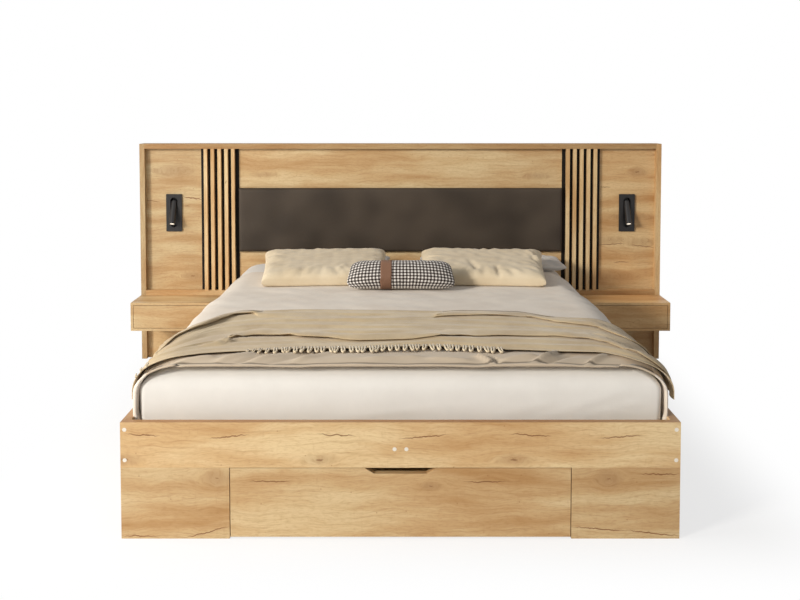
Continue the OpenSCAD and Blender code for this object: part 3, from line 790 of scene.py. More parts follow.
class SateenWithPaintedShade(WovenCloth):
    """Cotton sateen with a greyer beige tone of painted shade along the foot-end hem, and a fine dark line of
    painted shade in the hem's seam.
    """

    # painted shade: the greyer beige tone of the foot-end band
    painted_hem_shade = "#C0AF98"
    painted_seam_shade = "#4E4438"     # painted shade in the hem's seam
    starts = -0.880             # where the painted shade begins along the bed
    seam = -0.9925              # middle of the hem's seam
    reach = 0.765               # where it ends at each side

    def add_painted_shade(self, tree: Tree, colour: Socket) -> Socket:
        """Adds the painted shade along the hem and in its seam.

        Args:
            tree: The material's node tree.
            colour: The plain cloth's colour.

        Returns:
            The colour with both.
        """
        # Painted shade: the band along the foot end is mixed towards a greyer beige
        place = add(tree, "ShaderNodeTexCoord", out="Object")
        along = add(tree, "ShaderNodeSeparateXYZ", {0: place}, out="Y")
        side = add(tree, "ShaderNodeMath", {
            0: add(tree, "ShaderNodeSeparateXYZ", {0: place}, out="X")}, operation="ABSOLUTE")
        level = add(tree, "ShaderNodeMath", {0: side, 1: self.reach}, operation="LESS_THAN")
        inside = add(tree, "ShaderNodeMath", {0: along, 1: self.starts}, operation="LESS_THAN")
        inside = add(tree, "ShaderNodeMath", {0: inside, 1: level}, operation="MULTIPLY")
        colour = add(tree, "ShaderNodeMix", {0: inside, 6: colour, 7: linear(self.painted_hem_shade)}, out=2,
                     data_type="RGBA")
        # Painted shade: a dark line in the seam's groove
        off = add(tree, "ShaderNodeMath", {0: along, 1: self.seam}, operation="SUBTRACT")
        off = add(tree, "ShaderNodeMath", {0: off}, operation="ABSOLUTE")
        dark = add(tree, "ShaderNodeMapRange", {
            "Value": off, "From Min": 0.005, "From Max": 0.0015, "To Min": 0.0, "To Max": 0.75})
        dark = add(tree, "ShaderNodeMath", {0: dark, 1: level}, operation="MULTIPLY")
        return add(tree, "ShaderNodeMix", {
            0: dark, 6: colour, 7: linear(self.painted_seam_shade)}, out=2, data_type="RGBA")


class GinghamCloth(WovenCloth):
    """Black and white gingham: equal bands both ways, grey where a black band crosses a white one."""

    band = 0.0068               # width of one band
    crossed = "#756D67"         # where a black band crosses a white one

    def build(self, tree: Tree) -> Socket:
        """Args:
            tree: The material's node tree.

        Returns:
            The surface shader.
        """
        place = self.weave_place(tree)
        half = add(tree, "ShaderNodeMapping", {
            "Vector": place, "Scale": (0.5 / self.band, 0.5 / self.band, 1.0)})
        parts = add(tree, "ShaderNodeSeparateXYZ", {0: half}).node.outputs
        steps = []
        for part in parts[:2]:
            saw = add(tree, "ShaderNodeMath", {0: part}, operation="FRACT")
            steps.append(add(tree, "ShaderNodeMath", {0: saw, 1: 0.5}, operation="GREATER_THAN"))
        total = add(tree, "ShaderNodeMath", {0: steps[0], 1: steps[1]}, operation="ADD")
        total = add(tree, "ShaderNodeMath", {0: total, 1: 0.5}, operation="MULTIPLY")
        colour = add(tree, "ShaderNodeValToRGB", {"Fac": total}, stops=[
            (0.0, self.light), (0.5, self.crossed), (1.0, self.dark)])
        turns = 2 * math.pi / self.thread
        fine = add(tree, "ShaderNodeMapping", {"Vector": place, "Scale": (turns, turns, 1.0)})
        threads = add(tree, "ShaderNodeSeparateXYZ", {0: fine}).node.outputs
        waves = [add(tree, "ShaderNodeMath", {0: part}, operation="SINE") for part in threads[:2]]
        weave = add(tree, "ShaderNodeMath", {0: waves[0], 1: waves[1]}, operation="MULTIPLY")
        bump = add(tree, "ShaderNodeBump", {"Height": weave, "Strength": self.relief, "Distance": 0.0004})
        return add(tree, "ShaderNodeBsdfPrincipled", {
            "Base Color": colour, "Roughness": 0.85, "Normal": bump, "Specular IOR Level": 0.2,
            "Sheen Weight": self.sheen, "Sheen Roughness": 0.5})


class PaleFloor(Finish):
    """Pale studio floor: keeps the bed's soft shadow and turns plain white further out."""

    name = "pale_floor"
    fade = 0.40                 # distance over which it turns white
    nearest = 0.72              # share of white next to the bed

    def build(self, tree: Tree) -> Socket:
        """Builds a matt floor that glows white away from the bed's outline.

        Args:
            tree: The material's node tree.

        Returns:
            The surface shader.
        """
        place = add(tree, "ShaderNodeTexCoord", out="Object")
        side = add(tree, "ShaderNodeVectorMath", {0: place}, operation="ABSOLUTE")
        side = add(tree, "ShaderNodeVectorMath", {0: side, 1: (1.0, 1.0, 0.0)}, operation="SUBTRACT")
        side = add(tree, "ShaderNodeVectorMath", {0: side, 1: (0.0, 0.0, 0.0)}, operation="MAXIMUM")
        reach = add(tree, "ShaderNodeVectorMath", {0: side}, out="Value", operation="LENGTH")
        far = add(tree, "ShaderNodeMapRange", {
            "Value": reach, "From Min": 0.0, "From Max": self.fade, "To Min": self.nearest, "To Max": 1.0},
            interpolation_type="SMOOTHSTEP")
        seen = add(tree, "ShaderNodeLightPath", out="Is Camera Ray")
        fade = add(tree, "ShaderNodeMath", {0: far, 1: seen}, operation="MULTIPLY")
        cloud = add(tree, "ShaderNodeTexNoise", {"Vector": place, "Scale": 0.7, "Detail": 2.0})
        tone = add(tree, "ShaderNodeValToRGB", {"Fac": cloud}, stops=[(0.3, "#F4F3F1"), (0.7, "#FAF9F8")])
        matt = add(tree, "ShaderNodeBsdfDiffuse", {"Color": tone})
        white = add(tree, "ShaderNodeEmission", {"Color": WHITE, "Strength": 1.0})
        return add(tree, "ShaderNodeMixShader", {0: fade, 1: matt, 2: white})


# ---------------------------------------------------------------- soft shapes


@dataclass(frozen=True)
class Fold:
    """A soft ridge in cloth along a line, or with a negative height a groove, in metres."""

    x0: float
    y0: float
    x1: float
    y1: float
    width: float = 0.012
    height: float = 0.006
    bow: float = 0.0

    def lift(self, x: np.ndarray, y: np.ndarray) -> np.ndarray:
        """Returns how far the fold lifts the cloth at each point.

        Args:
            x: Places across the cloth.
            y: Places along the cloth.

        Returns:
            The lift at each place.
        """
        dx, dy = self.x1 - self.x0, self.y1 - self.y0
        length = math.hypot(dx, dy)
        t = ((x - self.x0) * dx + (y - self.y0) * dy) / length ** 2
        side = ((x - self.x0) * dy - (y - self.y0) * dx) / length - self.bow * 4 * t * (1 - t)
        fade = smoothstep(t, -0.12, 0.25) * (1 - smoothstep(t, 0.75, 1.12))
        return self.height * fade * np.exp(-(side / self.width) ** 2)


def folded(folds: Iterable[Fold], x: np.ndarray, y: np.ndarray) -> np.ndarray:
    """Returns the lift of all folds together."""
    return sum((fold.lift(x, y) for fold in folds), np.zeros(np.broadcast(x, y).shape))


def ripples(x: np.ndarray, y: np.ndarray, pitch: float, seed: int, turn: float = 0.0,
            spread: float = math.pi, waves: int = 12) -> np.ndarray:
    """Makes smooth random ripples of about unit height.

    Args:
        x: Places across.
        y: Places along.
        pitch: Usual distance between ripples.
        seed: Chooses the pattern.
        turn: Mean direction in which the height changes, from X, in radians.
        spread: Greatest turn away from that direction.
        waves: Number of waves that are summed.

    Returns:
        The height at each place, mostly between -1.5 and 1.5.
    """
    rng = np.random.default_rng(seed)
    total = np.zeros(np.broadcast(x, y).shape)
    for _ in range(waves):
        angle = turn + rng.uniform(-spread, spread)
        rate = 2 * math.pi / (pitch * rng.uniform(0.6, 1.7))
        total = total + np.sin(rate * (x * math.cos(angle) + y * math.sin(angle)) + rng.uniform(0,
                                                                                                2 * math.pi))
    return total / math.sqrt(waves)


def close_shell(name: str, top: np.ndarray, bottom: np.ndarray) -> Object:
    """Joins two grids of the same size along their rims to a closed piece.

    Args:
        name: The piece's name.
        top: Upper grid, of shape (rows, columns, 3).
        bottom: Lower grid.

    Returns:
        The new object, its UV map counting metres over each side.
    """
    rows, cols, _ = top.shape
    count = rows * cols
    faces = []
    for i in range(rows - 1):
        for j in range(cols - 1):
            corner = (i * cols + j, i * cols + j + 1, (i + 1) * cols + j + 1, (i + 1) * cols + j)
            faces.append(corner)
            faces.append(tuple(count + k for k in reversed(corner)))
    rim = ([(0, j) for j in range(cols)] + [(i, cols - 1) for i in range(1, rows)]
           + [(rows - 1, j) for j in range(cols - 2, -1, -1)] + [(i, 0) for i in range(rows - 2, 0, -1)])
    loop = [i * cols + j for i, j in rim]
    for a, b in zip(loop, loop[1:] + loop[:1]):
        faces.append((a, count + a, count + b, b))
    mesh = new_mesh(name, np.concatenate([top.reshape(-1, 3), bottom.reshape(-1, 3)]), faces)
    lay_uv(mesh, top)
    mesh.validate()
    piece = new_object(name, mesh)
    face_outwards(piece)
    return piece


def face_outwards(piece: Object) -> None:
    """Turns the faces of a closed piece outwards."""
    activate(piece)
    bpy.ops.object.mode_set(mode="EDIT")
    bpy.ops.mesh.select_all(action="SELECT")
    bpy.ops.mesh.normals_make_consistent(inside=False)
    bpy.ops.object.mode_set(mode="OBJECT")


def points_of(piece: Object) -> np.ndarray:
    """Returns a mesh's points as an array of shape (count, 3)."""
    flat = np.empty(len(piece.data.vertices) * 3)
    piece.data.vertices.foreach_get("co", flat)
    return flat.reshape(-1, 3)


def set_points(piece: Object, points: np.ndarray) -> None:
    """Moves a mesh's points."""
    piece.data.vertices.foreach_set("co", points.ravel())
    piece.data.update()


def swell(piece: Object, pressure: float = 4.0, cap: float = 0.02, frames: int = 20) -> None:
    """Lets a closed cover swell under its filling, by a short cloth simulation.

    Args:
        piece: The closed piece.
        pressure: Pressure inside.
        cap: How far a point may move at most.
        frames: Number of steps.
    """
    before = points_of(piece)
    activate(piece)
    cloth = piece.modifiers.new("swell", "CLOTH")
    cloth.settings.use_pressure = True
    cloth.settings.uniform_pressure_force = pressure
    cloth.settings.effector_weights.gravity = 0.0
    cloth.settings.quality = 6
    for number in range(1, frames + 1):
        bpy.context.scene.frame_set(number)
    apply_modifiers(piece)
    bpy.context.scene.frame_set(1)
    moved = points_of(piece) - before
    far = np.linalg.norm(moved, axis=1, keepdims=True)
    soft_cap = cap * np.tanh(far / cap) / np.maximum(far, 1e-9)
    set_points(piece, before + moved * soft_cap)


@dataclass(frozen=True)
class Drape:
    """The way cloth lies over the bed: level, then over elliptical shoulders, then straight down.

    Attributes:
        half: Half width of the level part.
        wide: Width of a shoulder.
        high: Height of a shoulder.
        top: Height of the level part above the floor.
    """

    half: float
    wide: float
    high: float
    top: float

    @property
    def quarter(self) -> float:
        """Length of the cloth over one shoulder."""
        return math.pi / 2 * math.sqrt((self.wide ** 2 + self.high ** 2) / 2)

    def at(self, s: np.ndarray, lift: np.ndarray | float = 0.0) -> tuple[np.ndarray, np.ndarray]:
        """Returns the places of points on the cloth.

        Args:
            s: Distance from the middle line, measured over the cloth.
            lift: Height above the cloth, along its normal.

        Returns:
            X and Z of each point.
        """
        d = np.abs(s)
        turn = np.clip((d - self.half) / self.quarter, 0, 1) * math.pi / 2
        down = np.maximum(d - self.half - self.quarter, 0)
        x = np.minimum(d, self.half) + (self.wide + lift) * np.sin(turn)
        z = self.top - self.high + (self.high + lift) * np.cos(turn) - down
        return np.sign(s) * x, z

    def reach(self, z: float) -> float:
        """Returns the distance over the cloth at which it has come down to a height."""
        return self.half + self.quarter + self.top - self.high - z


# ---------------------------------------------------------------- the bed's wood and metal


FOOT_FACE = -1.065                  # front face of the footboard
PANEL_FACE = 0.993                  # front face of the headboard's panels
HEAD_FACE = 0.965                   # front edges of the headboard's box
STAND_FACE = 0.770                  # front face of the nightstands

FOOT_MARKS = (
    Crack(-0.761, 0.312, 0.097, rise=-0.006), Crack(-0.189, 0.312, 0.110, rise=-0.006),
    Crack(0.385, 0.312, 0.119, rise=-0.006), Crack(-0.507, 0.307, 0.115, rise=0.0105),
    Crack(0.068, 0.307, 0.139, rise=0.0105), Crack(0.652, 0.307, 0.127, rise=0.0105),
    Knot(-0.815, 0.238, 0.16, 0.05), Knot(-0.239, 0.238, 0.16, 0.05), Knot(0.335, 0.238, 0.16, 0.05),
)
LEG_MARKS = (
    Crack(0.766, 0.195, 0.121), Crack(-0.771, 0.008, 0.110), Crack(-0.574, 0.019, 0.131, rise=0.033),
    Crack(0.590, 0.029, 0.163, rise=-0.012), Crack(0.749, 0.017, 0.154, rise=-0.018),
    Knot(-0.543, 0.182, 0.12, 0.08, 0.006), Knot(0.616, 0.181, 0.12, 0.08, 0.006),
)
DRAWER_MARKS = (Crack(-0.386, 0.173, 0.130), Crack(0.251, 0.172, 0.126),
                Knot(0.090, 0.159, 0.10, 0.04, 0.006))
LEFT_WING_MARKS = (
    Crack(-1.254, 0.801, 0.071, rise=-0.010), Crack(-1.053, 0.816, 0.096, 0.0040, rise=-0.012),
    Crack(-1.084, 0.776, 0.035), Knot(-1.055, 0.418, 0.16, 0.06), Knot(-1.150, 0.955, 0.30, 0.10, 0.003),
)
RIGHT_WING_MARKS = (
    Crack(1.036, 0.872, 0.060), Crack(1.067, 0.581, 0.150, rise=0.0077),
    Crack(1.224, 0.571, 0.130, rise=-0.0128),
    Crack(1.123, 0.490, 0.080), Knot(1.197, 0.949, 0.14, 0.07), Knot(1.060, 0.600, 0.30, 0.06, 0.003),
    Knot(1.230, 0.590, 0.26, 0.07, 0.003), Knot(1.100, 0.420, 0.34, 0.08, 0.003),
    Knot(1.180, 0.720, 0.40, 0.05, 0.003),
)


@dataclass
class Headboard:
    """The wide headboard's box, its panels and its upright strips on black."""

    marks_left: tuple = LEFT_WING_MARKS
    marks_right: tuple = RIGHT_WING_MARKS

    def dress(self) -> None:
        """Gives every board its cut of the oak decor, and the hidden frame bare timber."""
        # The boards' shade and warm values are partly painted light and shade: darker, lighter and browner
        # cuts set for how much light each board gets
        OakLaminate("wild_oak_upright", Grain.Z, HEAD_FACE, (0.3, 0.7, 0.0), shade=0.65).give(
            "headboard_side_left")
        OakLaminate("wild_oak_upright_right", Grain.Z, HEAD_FACE, (1.3, 1.7, 0.0), shade=0.88,
                    warm=0.16).give("headboard_side_right")
        OakLaminate("wild_oak_top_board", Grain.X, HEAD_FACE, (0.1, 2.2, 0.0), shade=0.64, warm=0.20).give(
            "headboard_top")
        OakLaminate("wild_oak_left_panel", Grain.X, PANEL_FACE, (0.0, 0.0, 0.0), self.marks_left, 0.74).give(
            "wing_panel_left")
        OakLaminate("wild_oak_right_panel", Grain.X, PANEL_FACE, (3.1, 0.2, 0.0), self.marks_right,
                    0.90, warm=0.14).give("wing_panel_right")
        OakLaminate("wild_oak_middle_panel", Grain.X, PANEL_FACE, (1.7, 1.1, 0.0), (
            Knot(-0.69, 0.935, 0.20, 0.04, 0.003), Knot(0.69, 0.928, 0.22, 0.05, 0.003)), shade=0.86).give(
            "centre_panel")
        OakLaminate("wild_oak_rails", Grain.X, HEAD_FACE, (0.9, 3.3, 0.0), shade=0.82, warm=0.10).give(
            "shelf_rail_left", "shelf_rail_right", "lower_panel", "plinth_strip")
        OakLaminate("wild_oak_strips", Grain.Z, PANEL_FACE, (5.3, 0.4, 0.0), (
            Crack(0.900, -0.905, 0.020, 0.003), Crack(0.700, 0.840, 0.024, 0.003))).give(
            "oak_strips_left", "oak_strips_right")
        BlackLaminate().give("strip_backing_left", "strip_backing_right")
        SOFTWOOD_UP.give("headboard_posts")
        SOFTWOOD.give("back_battens", "nightstand_cleats", "pad_board")


@dataclass
class HeadboardPad:
    """The upholstered pad: imitation leather over thin foam on a board, its face slightly crowned."""

    crown: float = 0.005
    edge: float = 0.015
    rear: float = 0.9915        # its back, just in front of the panel
    sunk: float = 0.0058        # how far the rim lies behind the solid's front

    def build(self) -> Object:
        """Builds the pad over its solid's box.

        Returns:
            The pad's cover.
        """
        low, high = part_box("headboard_pad")
        half, bottom, top = high.x, low.z, high.z
        front = low.y
        a = self.spaced(half, 90)
        b = self.spaced((top - bottom) / 2, 30)
        x, v = np.meshgrid(a, b)
        side = np.minimum(half - np.abs(x), (top - bottom) / 2 - np.abs(v))
        round_off = self.edge - np.sqrt(np.maximum(self.edge ** 2 - np.maximum(self.edge - side, 0) ** 2, 0))
        belly = self.crown * (1 - (x / half) ** 6) * (1 - (2 * v / (top - bottom)) ** 4)
        puckers = 0.0006 * ripples(x, v, 0.16, 3) * smoothstep(side, 0.0, 0.05)
        y = front + self.sunk + round_off - belly - puckers
        face = np.stack([x, y, v + (top + bottom) / 2], axis=2)
        rear = face.copy()
        rear[:, :, 1] = self.rear
        pad = close_shell("pad_cover", face, rear)
        return dress(pad, PAD_LEATHER.material(), replaces=["headboard_pad"])

    def spaced(self, half: float, count: int) -> np.ndarray:
        """Spaces points over a face, close together where its edge is rounded.

        Args:
            half: Half the face's width.
            count: Number of points between the rounded edges.

        Returns:
            The places across.
        """
        inner = np.linspace(-half + self.edge, half - self.edge, count)
        turn = self.edge * (1 - np.cos(np.linspace(0, math.pi / 2, 7)))[:-1]
        return np.concatenate([-half + turn, inner, (half - turn)[::-1]])


@dataclass
class ReadingLamps:
    """Two folding reading lamps with anthracite heads, their opal lenses lit."""

    glow: float = 1.5           # watts
    apart: float = 1.146        # from the bed's middle to each light
    ahead: float = 0.007        # of the lens's middle
    below: float = 0.012        # under the lens
    tilt: float = 14.0          # degrees towards the panel

    def dress(self) -> None:
        """Gives the lamps their coat and lens, and lights the shelves below them."""
        for side, sign in (("left", -1), ("right", 1)):
            PowderCoat().give(f"lamp_plate_{side}", f"lamp_head_{side}")
            OpalLens().give(f"lamp_lens_{side}")
            lamp = bpy.data.lights.new(f"lamp_glow_{side}", "SPOT")
            lamp.energy = self.glow
            lamp.color = linear("#FFEAD0")[:3]
            lamp.spot_size = math.radians(75)
            lamp.spot_blend = 0.8
            lamp.shadow_soft_size = 0.012
            low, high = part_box(f"lamp_lens_{side}")
            holder = new_object(f"lamp_glow_{side}", lamp)
            holder.location = (sign * self.apart, (low.y + high.y) / 2 - self.ahead, low.z - self.below)
            holder.rotation_euler = (math.radians(-self.tilt), 0.0, 0.0)
            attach(holder, f"lamp_{side}")


@dataclass
class Nightstands:
    """The two hanging nightstands with their drawers."""

    def dress(self) -> None:
        """Gives the nightstands oak outside, and pale timber to the drawer boxes."""
        # Painted light and shade: the stands' shade and warm values are set for the light that each side gets
        OakLaminate("wild_oak_stand_left", Grain.X, STAND_FACE, (2.4, 4.1, 0.0), shade=0.77).give(
            "nightstand_top_left", "nightstand_case_left", "drawer_front_left")
        OakLaminate("wild_oak_stand_right", Grain.X, STAND_FACE, (4.9, 5.3, 0.0), shade=0.94, warm=0.18).give(
            "nightstand_top_right", "nightstand_case_right", "drawer_front_right")
        SOFTWOOD.give("drawer_box_left", "drawer_box_right")
        RUNNER.give("drawer_runners")


@dataclass
class BedFrame:
    """Footboard, rails, beam, legs, slats and their fasteners."""

    marks: tuple = FOOT_MARKS

    def dress(self) -> None:
        """Gives the frame its finishes."""
        # Painted light and shade: shade values are set for the light each piece gets, and upper=0.30 paints
        # brown shade on upward faces
        OakLaminate("wild_oak_footboard", Grain.X, FOOT_FACE, (0.6, 0.9, 0.0), self.marks, 0.95, 0.30).give(
            "footboard")
        OakLaminate("wild_oak_foot_legs", Grain.X, FOOT_FACE, (4.4, 1.6, 0.0), LEG_MARKS,
                    0.82).give("foot_legs")
        OakLaminate("wild_oak_side_rails", Grain.Y, 0.8, (0.2, 5.5, 0.0), upper=0.30).give(
            "side_rail_left", "side_rail_right")
        SOFTWOOD.give("head_crossboard")
        SOFTWOOD_LONG.give("slat_ledges", "centre_beam")
        SOFTWOOD_UP.give("centre_legs")
        BIRCH.give("bed_slats")
        ZINC.give("frame_bolts", "corner_brackets")
        CAP_PLASTIC.give("bolt_caps")


@dataclass
class FootDrawer:
    """The rolling drawer at the foot end."""

    marks: tuple = DRAWER_MARKS

    def dress(self) -> None:
        """Gives the drawer its finishes."""
        # Painted shade: the drawer front's shade value is set for the light that it gets
        OakLaminate("wild_oak_drawer_front", Grain.X, FOOT_FACE, (7.2, 0.3, 0.0), self.marks, 0.84).give(
            "foot_drawer_front")
        SOFTWOOD.give("foot_drawer_box")
        CASTOR_PLASTIC.give("castor_forks")
        WHEEL_RUBBER.give("wheel_front_left", "wheel_front_right", "wheel_back_left", "wheel_back_right")


# ---------------------------------------------------------------- bedding


@dataclass
class Mattress:
    """A 160 x 200 cm mattress in a smooth fitted cover, its corners and top edge well rounded."""

    half_width: float = 0.788
    front: float = -1.003
    back: float = 0.991
    bottom: float = 0.303
    top: float = 0.493
    corner: float = 0.018
    soften: float = 0.5
    over: Point = (0.119, 0.062, 0.070)
    foot: float = 0.012
    wrinkles: tuple = (
        Fold(0.42, 0.335, 0.70, 0.440, 0.010, 0.0032), Fold(0.50, 0.330, 0.66, 0.385, 0.008, 0.0028),
        Fold(0.62, 0.335, 0.74, 0.420, 0.009, 0.0032), Fold(0.30, 0.345, 0.46, 0.400, 0.012, 0.0020),
        Fold(-0.55, 0.335, -0.68, 0.420, 0.012, 0.0024), Fold(-0.20, 0.340, 0.10, 0.375, 0.012, 0.0016),
    )

    def outline(self, narrow: float, inset: float, z: float) -> np.ndarray:
        """Returns one level of the mattress as a loop of points, with the same count at every level.

        Args:
            narrow: How far it is drawn in across the bed.
            inset: How far it is drawn in along the bed.
            z: Its height.

        Returns:
            The points of the loop.
        """
        half = self.half_width - narrow
        mid, long = (self.front + self.back) / 2, (self.back - self.front) / 2 - inset
        r = min(self.corner + inset * self.soften, half - 0.001)
        loop = []
        corners = ((1, -1), (1, 1), (-1, 1), (-1, -1))
        for i, (sx, sy) in enumerate(corners):
            start = 90 * (i - 1)
            centre = (sx * (half - r), mid + sy * (long - r))
            for k in range(17):
                turn = math.radians(start + 90 * k / 16)
                loop.append((centre[0] + r * math.cos(turn), centre[1] + r * math.sin(turn)))
            count = 46 if sx * sy < 0 else 40
            nx, ny = corners[(i + 1) % len(corners)]
            turn = math.radians(start + 90)
            begin = loop[-1]
            end = (nx * (half - r) + r * math.cos(turn), mid + ny * (long - r) + r * math.sin(turn))
            for k in range(1, count):
                loop.append(tuple(a + (b - a) * k / count for a, b in zip(begin, end)))
        return np.array([(x, y, z) for x, y in loop])

    def build(self) -> Object:
        """Builds the mattress.

        Returns:
            The mattress's cover.
        """
        wide, deep, high = self.over
        levels = [(0.16, 0.16, self.bottom), (self.foot, self.foot, self.bottom)]
        levels += [(self.foot * (1 - math.sin(t)),) * 2 + (self.bottom + self.foot * (1 - math.cos(t)),)
                   for t in np.linspace(0.3, math.pi / 2, 4)]
        levels += [(0.0, 0.0, z) for z in np.linspace(self.bottom + self.foot, self.top - high, 13)[1:]]
        levels += [(wide * (1 - math.cos(t)), deep * (1 - math.cos(t)), self.top - high * (1 - math.sin(t)))
                   for t in np.linspace(0, math.pi / 2, 13)[1:]]
        levels += [(wide + more, deep + more, self.top)
                   for more in np.linspace(0, self.half_width - wide - 0.02, 14)[1:]]
        rings = np.array([self.outline(*level) for level in levels])
        x, y, z = rings[:, :, 0], rings[:, :, 1], rings[:, :, 2]
        at_front = smoothstep(-y, 0.90, 0.985)
        rings[:, :, 1] -= at_front * (folded(self.wrinkles, x, z) + 0.0010 * ripples(x, z, 0.30, 11))
        rings[:, :, 0] += np.sign(x) * smoothstep(np.abs(x), 0.70, 0.78) * 0.0010 * ripples(y, z, 0.25, 12)
        mattress = grid_piece("mattress_cover", rings, closed_rows=True)
        shape = bmesh.new()
        shape.from_mesh(mattress.data)
        open_edges = [edge for edge in shape.edges if edge.is_boundary]
        bmesh.ops.holes_fill(shape, edges=open_edges, sides=0)
        shape.to_mesh(mattress.data)
        shape.free()
        mattress.data.polygons.foreach_set("use_smooth", [True] * len(mattress.data.polygons))
        face_outwards(mattress)
        return dress(mattress, TICKING.material(), replaces=["mattress"])


@dataclass
class Duvet:
    """A cotton duvet, 18 mm thick where it lies, its hem a flat band along the mattress's foot end."""

    drape: Drape = field(default_factory=lambda: Drape(0.669, 0.1405, 0.0919, 0.5149))
    front: float = -1.008
    back: float = 0.590
    hang: float = 0.335
    thick: float = 0.018
    thinnest: float = 0.005     # where the cloth is pressed flat
    hem_end: float = -0.955     # where the flat hem ends along the bed
    step: float = 0.009
    folds: tuple = (
        # At the foot end, between the throw and the hem
        Fold(0.225, -0.940, 0.285, -1.000, 0.0059, 0.0126),
        Fold(0.260, -0.930, 0.300, -0.995, 0.0051, -0.0108),
        Fold(0.400, -0.996, 0.490, -0.900, 0.0068, 0.0162, 0.010),
        Fold(0.440, -0.998, 0.540, -0.920, 0.0068, -0.0108),
        Fold(0.560, -1.000, 0.640, -0.930, 0.0076, 0.0144),
        Fold(0.300, -0.985, 0.420, -0.955, 0.0085, 0.0090),
        Fold(-0.560, -0.985, -0.440, -0.915, 0.0102, 0.0108),
        Fold(-0.500, -0.990, -0.360, -0.910, 0.0076, -0.0090),
        Fold(-0.460, -0.985, -0.300, -0.900, 0.0093, 0.0090),
        Fold(-0.400, -0.990, -0.240, -0.905, 0.0076, -0.0072),
        Fold(-0.330, -0.985, -0.200, -0.900, 0.0102, 0.0090),
        Fold(-0.120, -0.975, 0.080, -0.945, 0.0119, 0.0072),
        Fold(-0.680, -0.990, -0.560, -0.950, 0.0085, 0.0090),
        Fold(0.080, -0.965, 0.220, -0.980, 0.0102, 0.0072),
        # Between the throw and the pillows
        Fold(-0.300, -0.020, -0.080, 0.060, 0.016, 0.005), Fold(-0.260, 0.020, -0.020, 0.085, 0.012, -0.004),
        Fold(-0.220, -0.060, 0.060, 0.010, 0.020, 0.004), Fold(0.100, 0.060, 0.420, 0.020, 0.022, 0.003),
        Fold(-0.620, 0.120, -0.420, 0.060, 0.020, 0.004), Fold(0.480, -0.120, 0.700, 0.020, 0.024, 0.003),
    )

    def lift(self, s: np.ndarray, y: np.ndarray) -> np.ndarray:
        """Returns the height of the duvet's folds over its plain drape.

        Args:
            s: Distance from the middle line over the cloth.
            y: Place along the bed.

        Returns:
            The lift along the cloth's normal.
        """
        covered = smoothstep(y, -0.92, -0.86) * (1 - smoothstep(y, -0.34, -0.24))
        open_top = (1 - covered) * (1 - smoothstep(y, 0.16, 0.20))
        puff = 0.0022 * ripples(s, y, 0.34, 21) + 0.0012 * ripples(s, y, 0.12, 22, 1.2, 0.8)
        hem = -0.0105 * (1 - smoothstep(y, -1.000, -0.955)) - 0.0030 * np.exp(-((y + 0.9925) / 0.0035) ** 2)
        end = -0.008 * smoothstep(y, self.back - 0.035, self.back)
        reach = self.drape.reach(self.hang)
        side = -0.008 * smoothstep(np.abs(s), reach - 0.035, reach)
        lifted = open_top * (puff + folded(self.folds, s, y) + 0.001) - 0.0025 * covered
        return lifted + hem + end + side - self.drawn_in(s)

    def build(self) -> Object:
        """Builds the duvet as a closed padded shell.

        Returns:
            The duvet.
        """
        reach = self.drape.reach(self.hang)
        s, y = np.meshgrid(np.linspace(-reach, reach, int(2 * reach / self.step)), self.rows())
        outer = self.lift(s, y)
        swing = self.swing(s, y)
        x, z = self.drape.at(s, outer - swing)
        sink = self.sink(s, y)
        top = np.stack([x, y, z - sink], axis=2)
        rim = np.minimum(np.minimum(y - self.front, self.back - y), reach - np.abs(s))
        thick = self.thick - 0.004 * (1 - smoothstep(rim, 0.0, 0.03))
        thick -= 0.009 * smoothstep(-y, 0.94, 0.99) * smoothstep(np.abs(s), 0.62, 0.72)
        x, z = self.drape.at(s, np.maximum(-thick - swing, -0.0195))
        z = np.maximum(z, 0.0)
        bottom = np.stack([x, y, z - sink], axis=2)
        thin = top - bottom
        gap = np.linalg.norm(thin, axis=2, keepdims=True)
        bottom = np.where(gap < self.thinnest, top - thin / np.maximum(gap, 1e-9) * self.thinnest, bottom)
        duvet = close_shell("duvet_cover", top, bottom)
        return dress(duvet, SATEEN.material(), replaces=["duvet"])

    def rows(self) -> np.ndarray:
        """Returns the places along the bed, closer together at the foot-end hem."""
        return np.concatenate([np.linspace(self.front, self.hem_end, 14)[:-1], np.linspace(
            self.hem_end, self.back, int((self.back - self.hem_end) / self.step))])

    @staticmethod
    def swing(s: np.ndarray, y: np.ndarray) -> np.ndarray:
        """Returns how much closer to the mattress the sides hang towards the head end."""
        return 0.012 * smoothstep(y, -0.06, 0.20) * smoothstep(np.abs(s), 0.67, 0.76)

    @staticmethod
    def sink(s: np.ndarray, y: np.ndarray) -> np.ndarray:
        """Returns how far the cloth sinks over the mattress's rounded corners at the foot end."""
        return 0.006 * smoothstep(-y, 0.93, 1.01) * smoothstep(np.abs(s), 0.60, 0.76)

    @staticmethod
    def drawn_in(s: np.ndarray) -> np.ndarray:
        """Returns how much closer the left side hangs than the right, where the duvet is pulled over."""
        return 0.008 * smoothstep(-s, 0.74, 0.86)


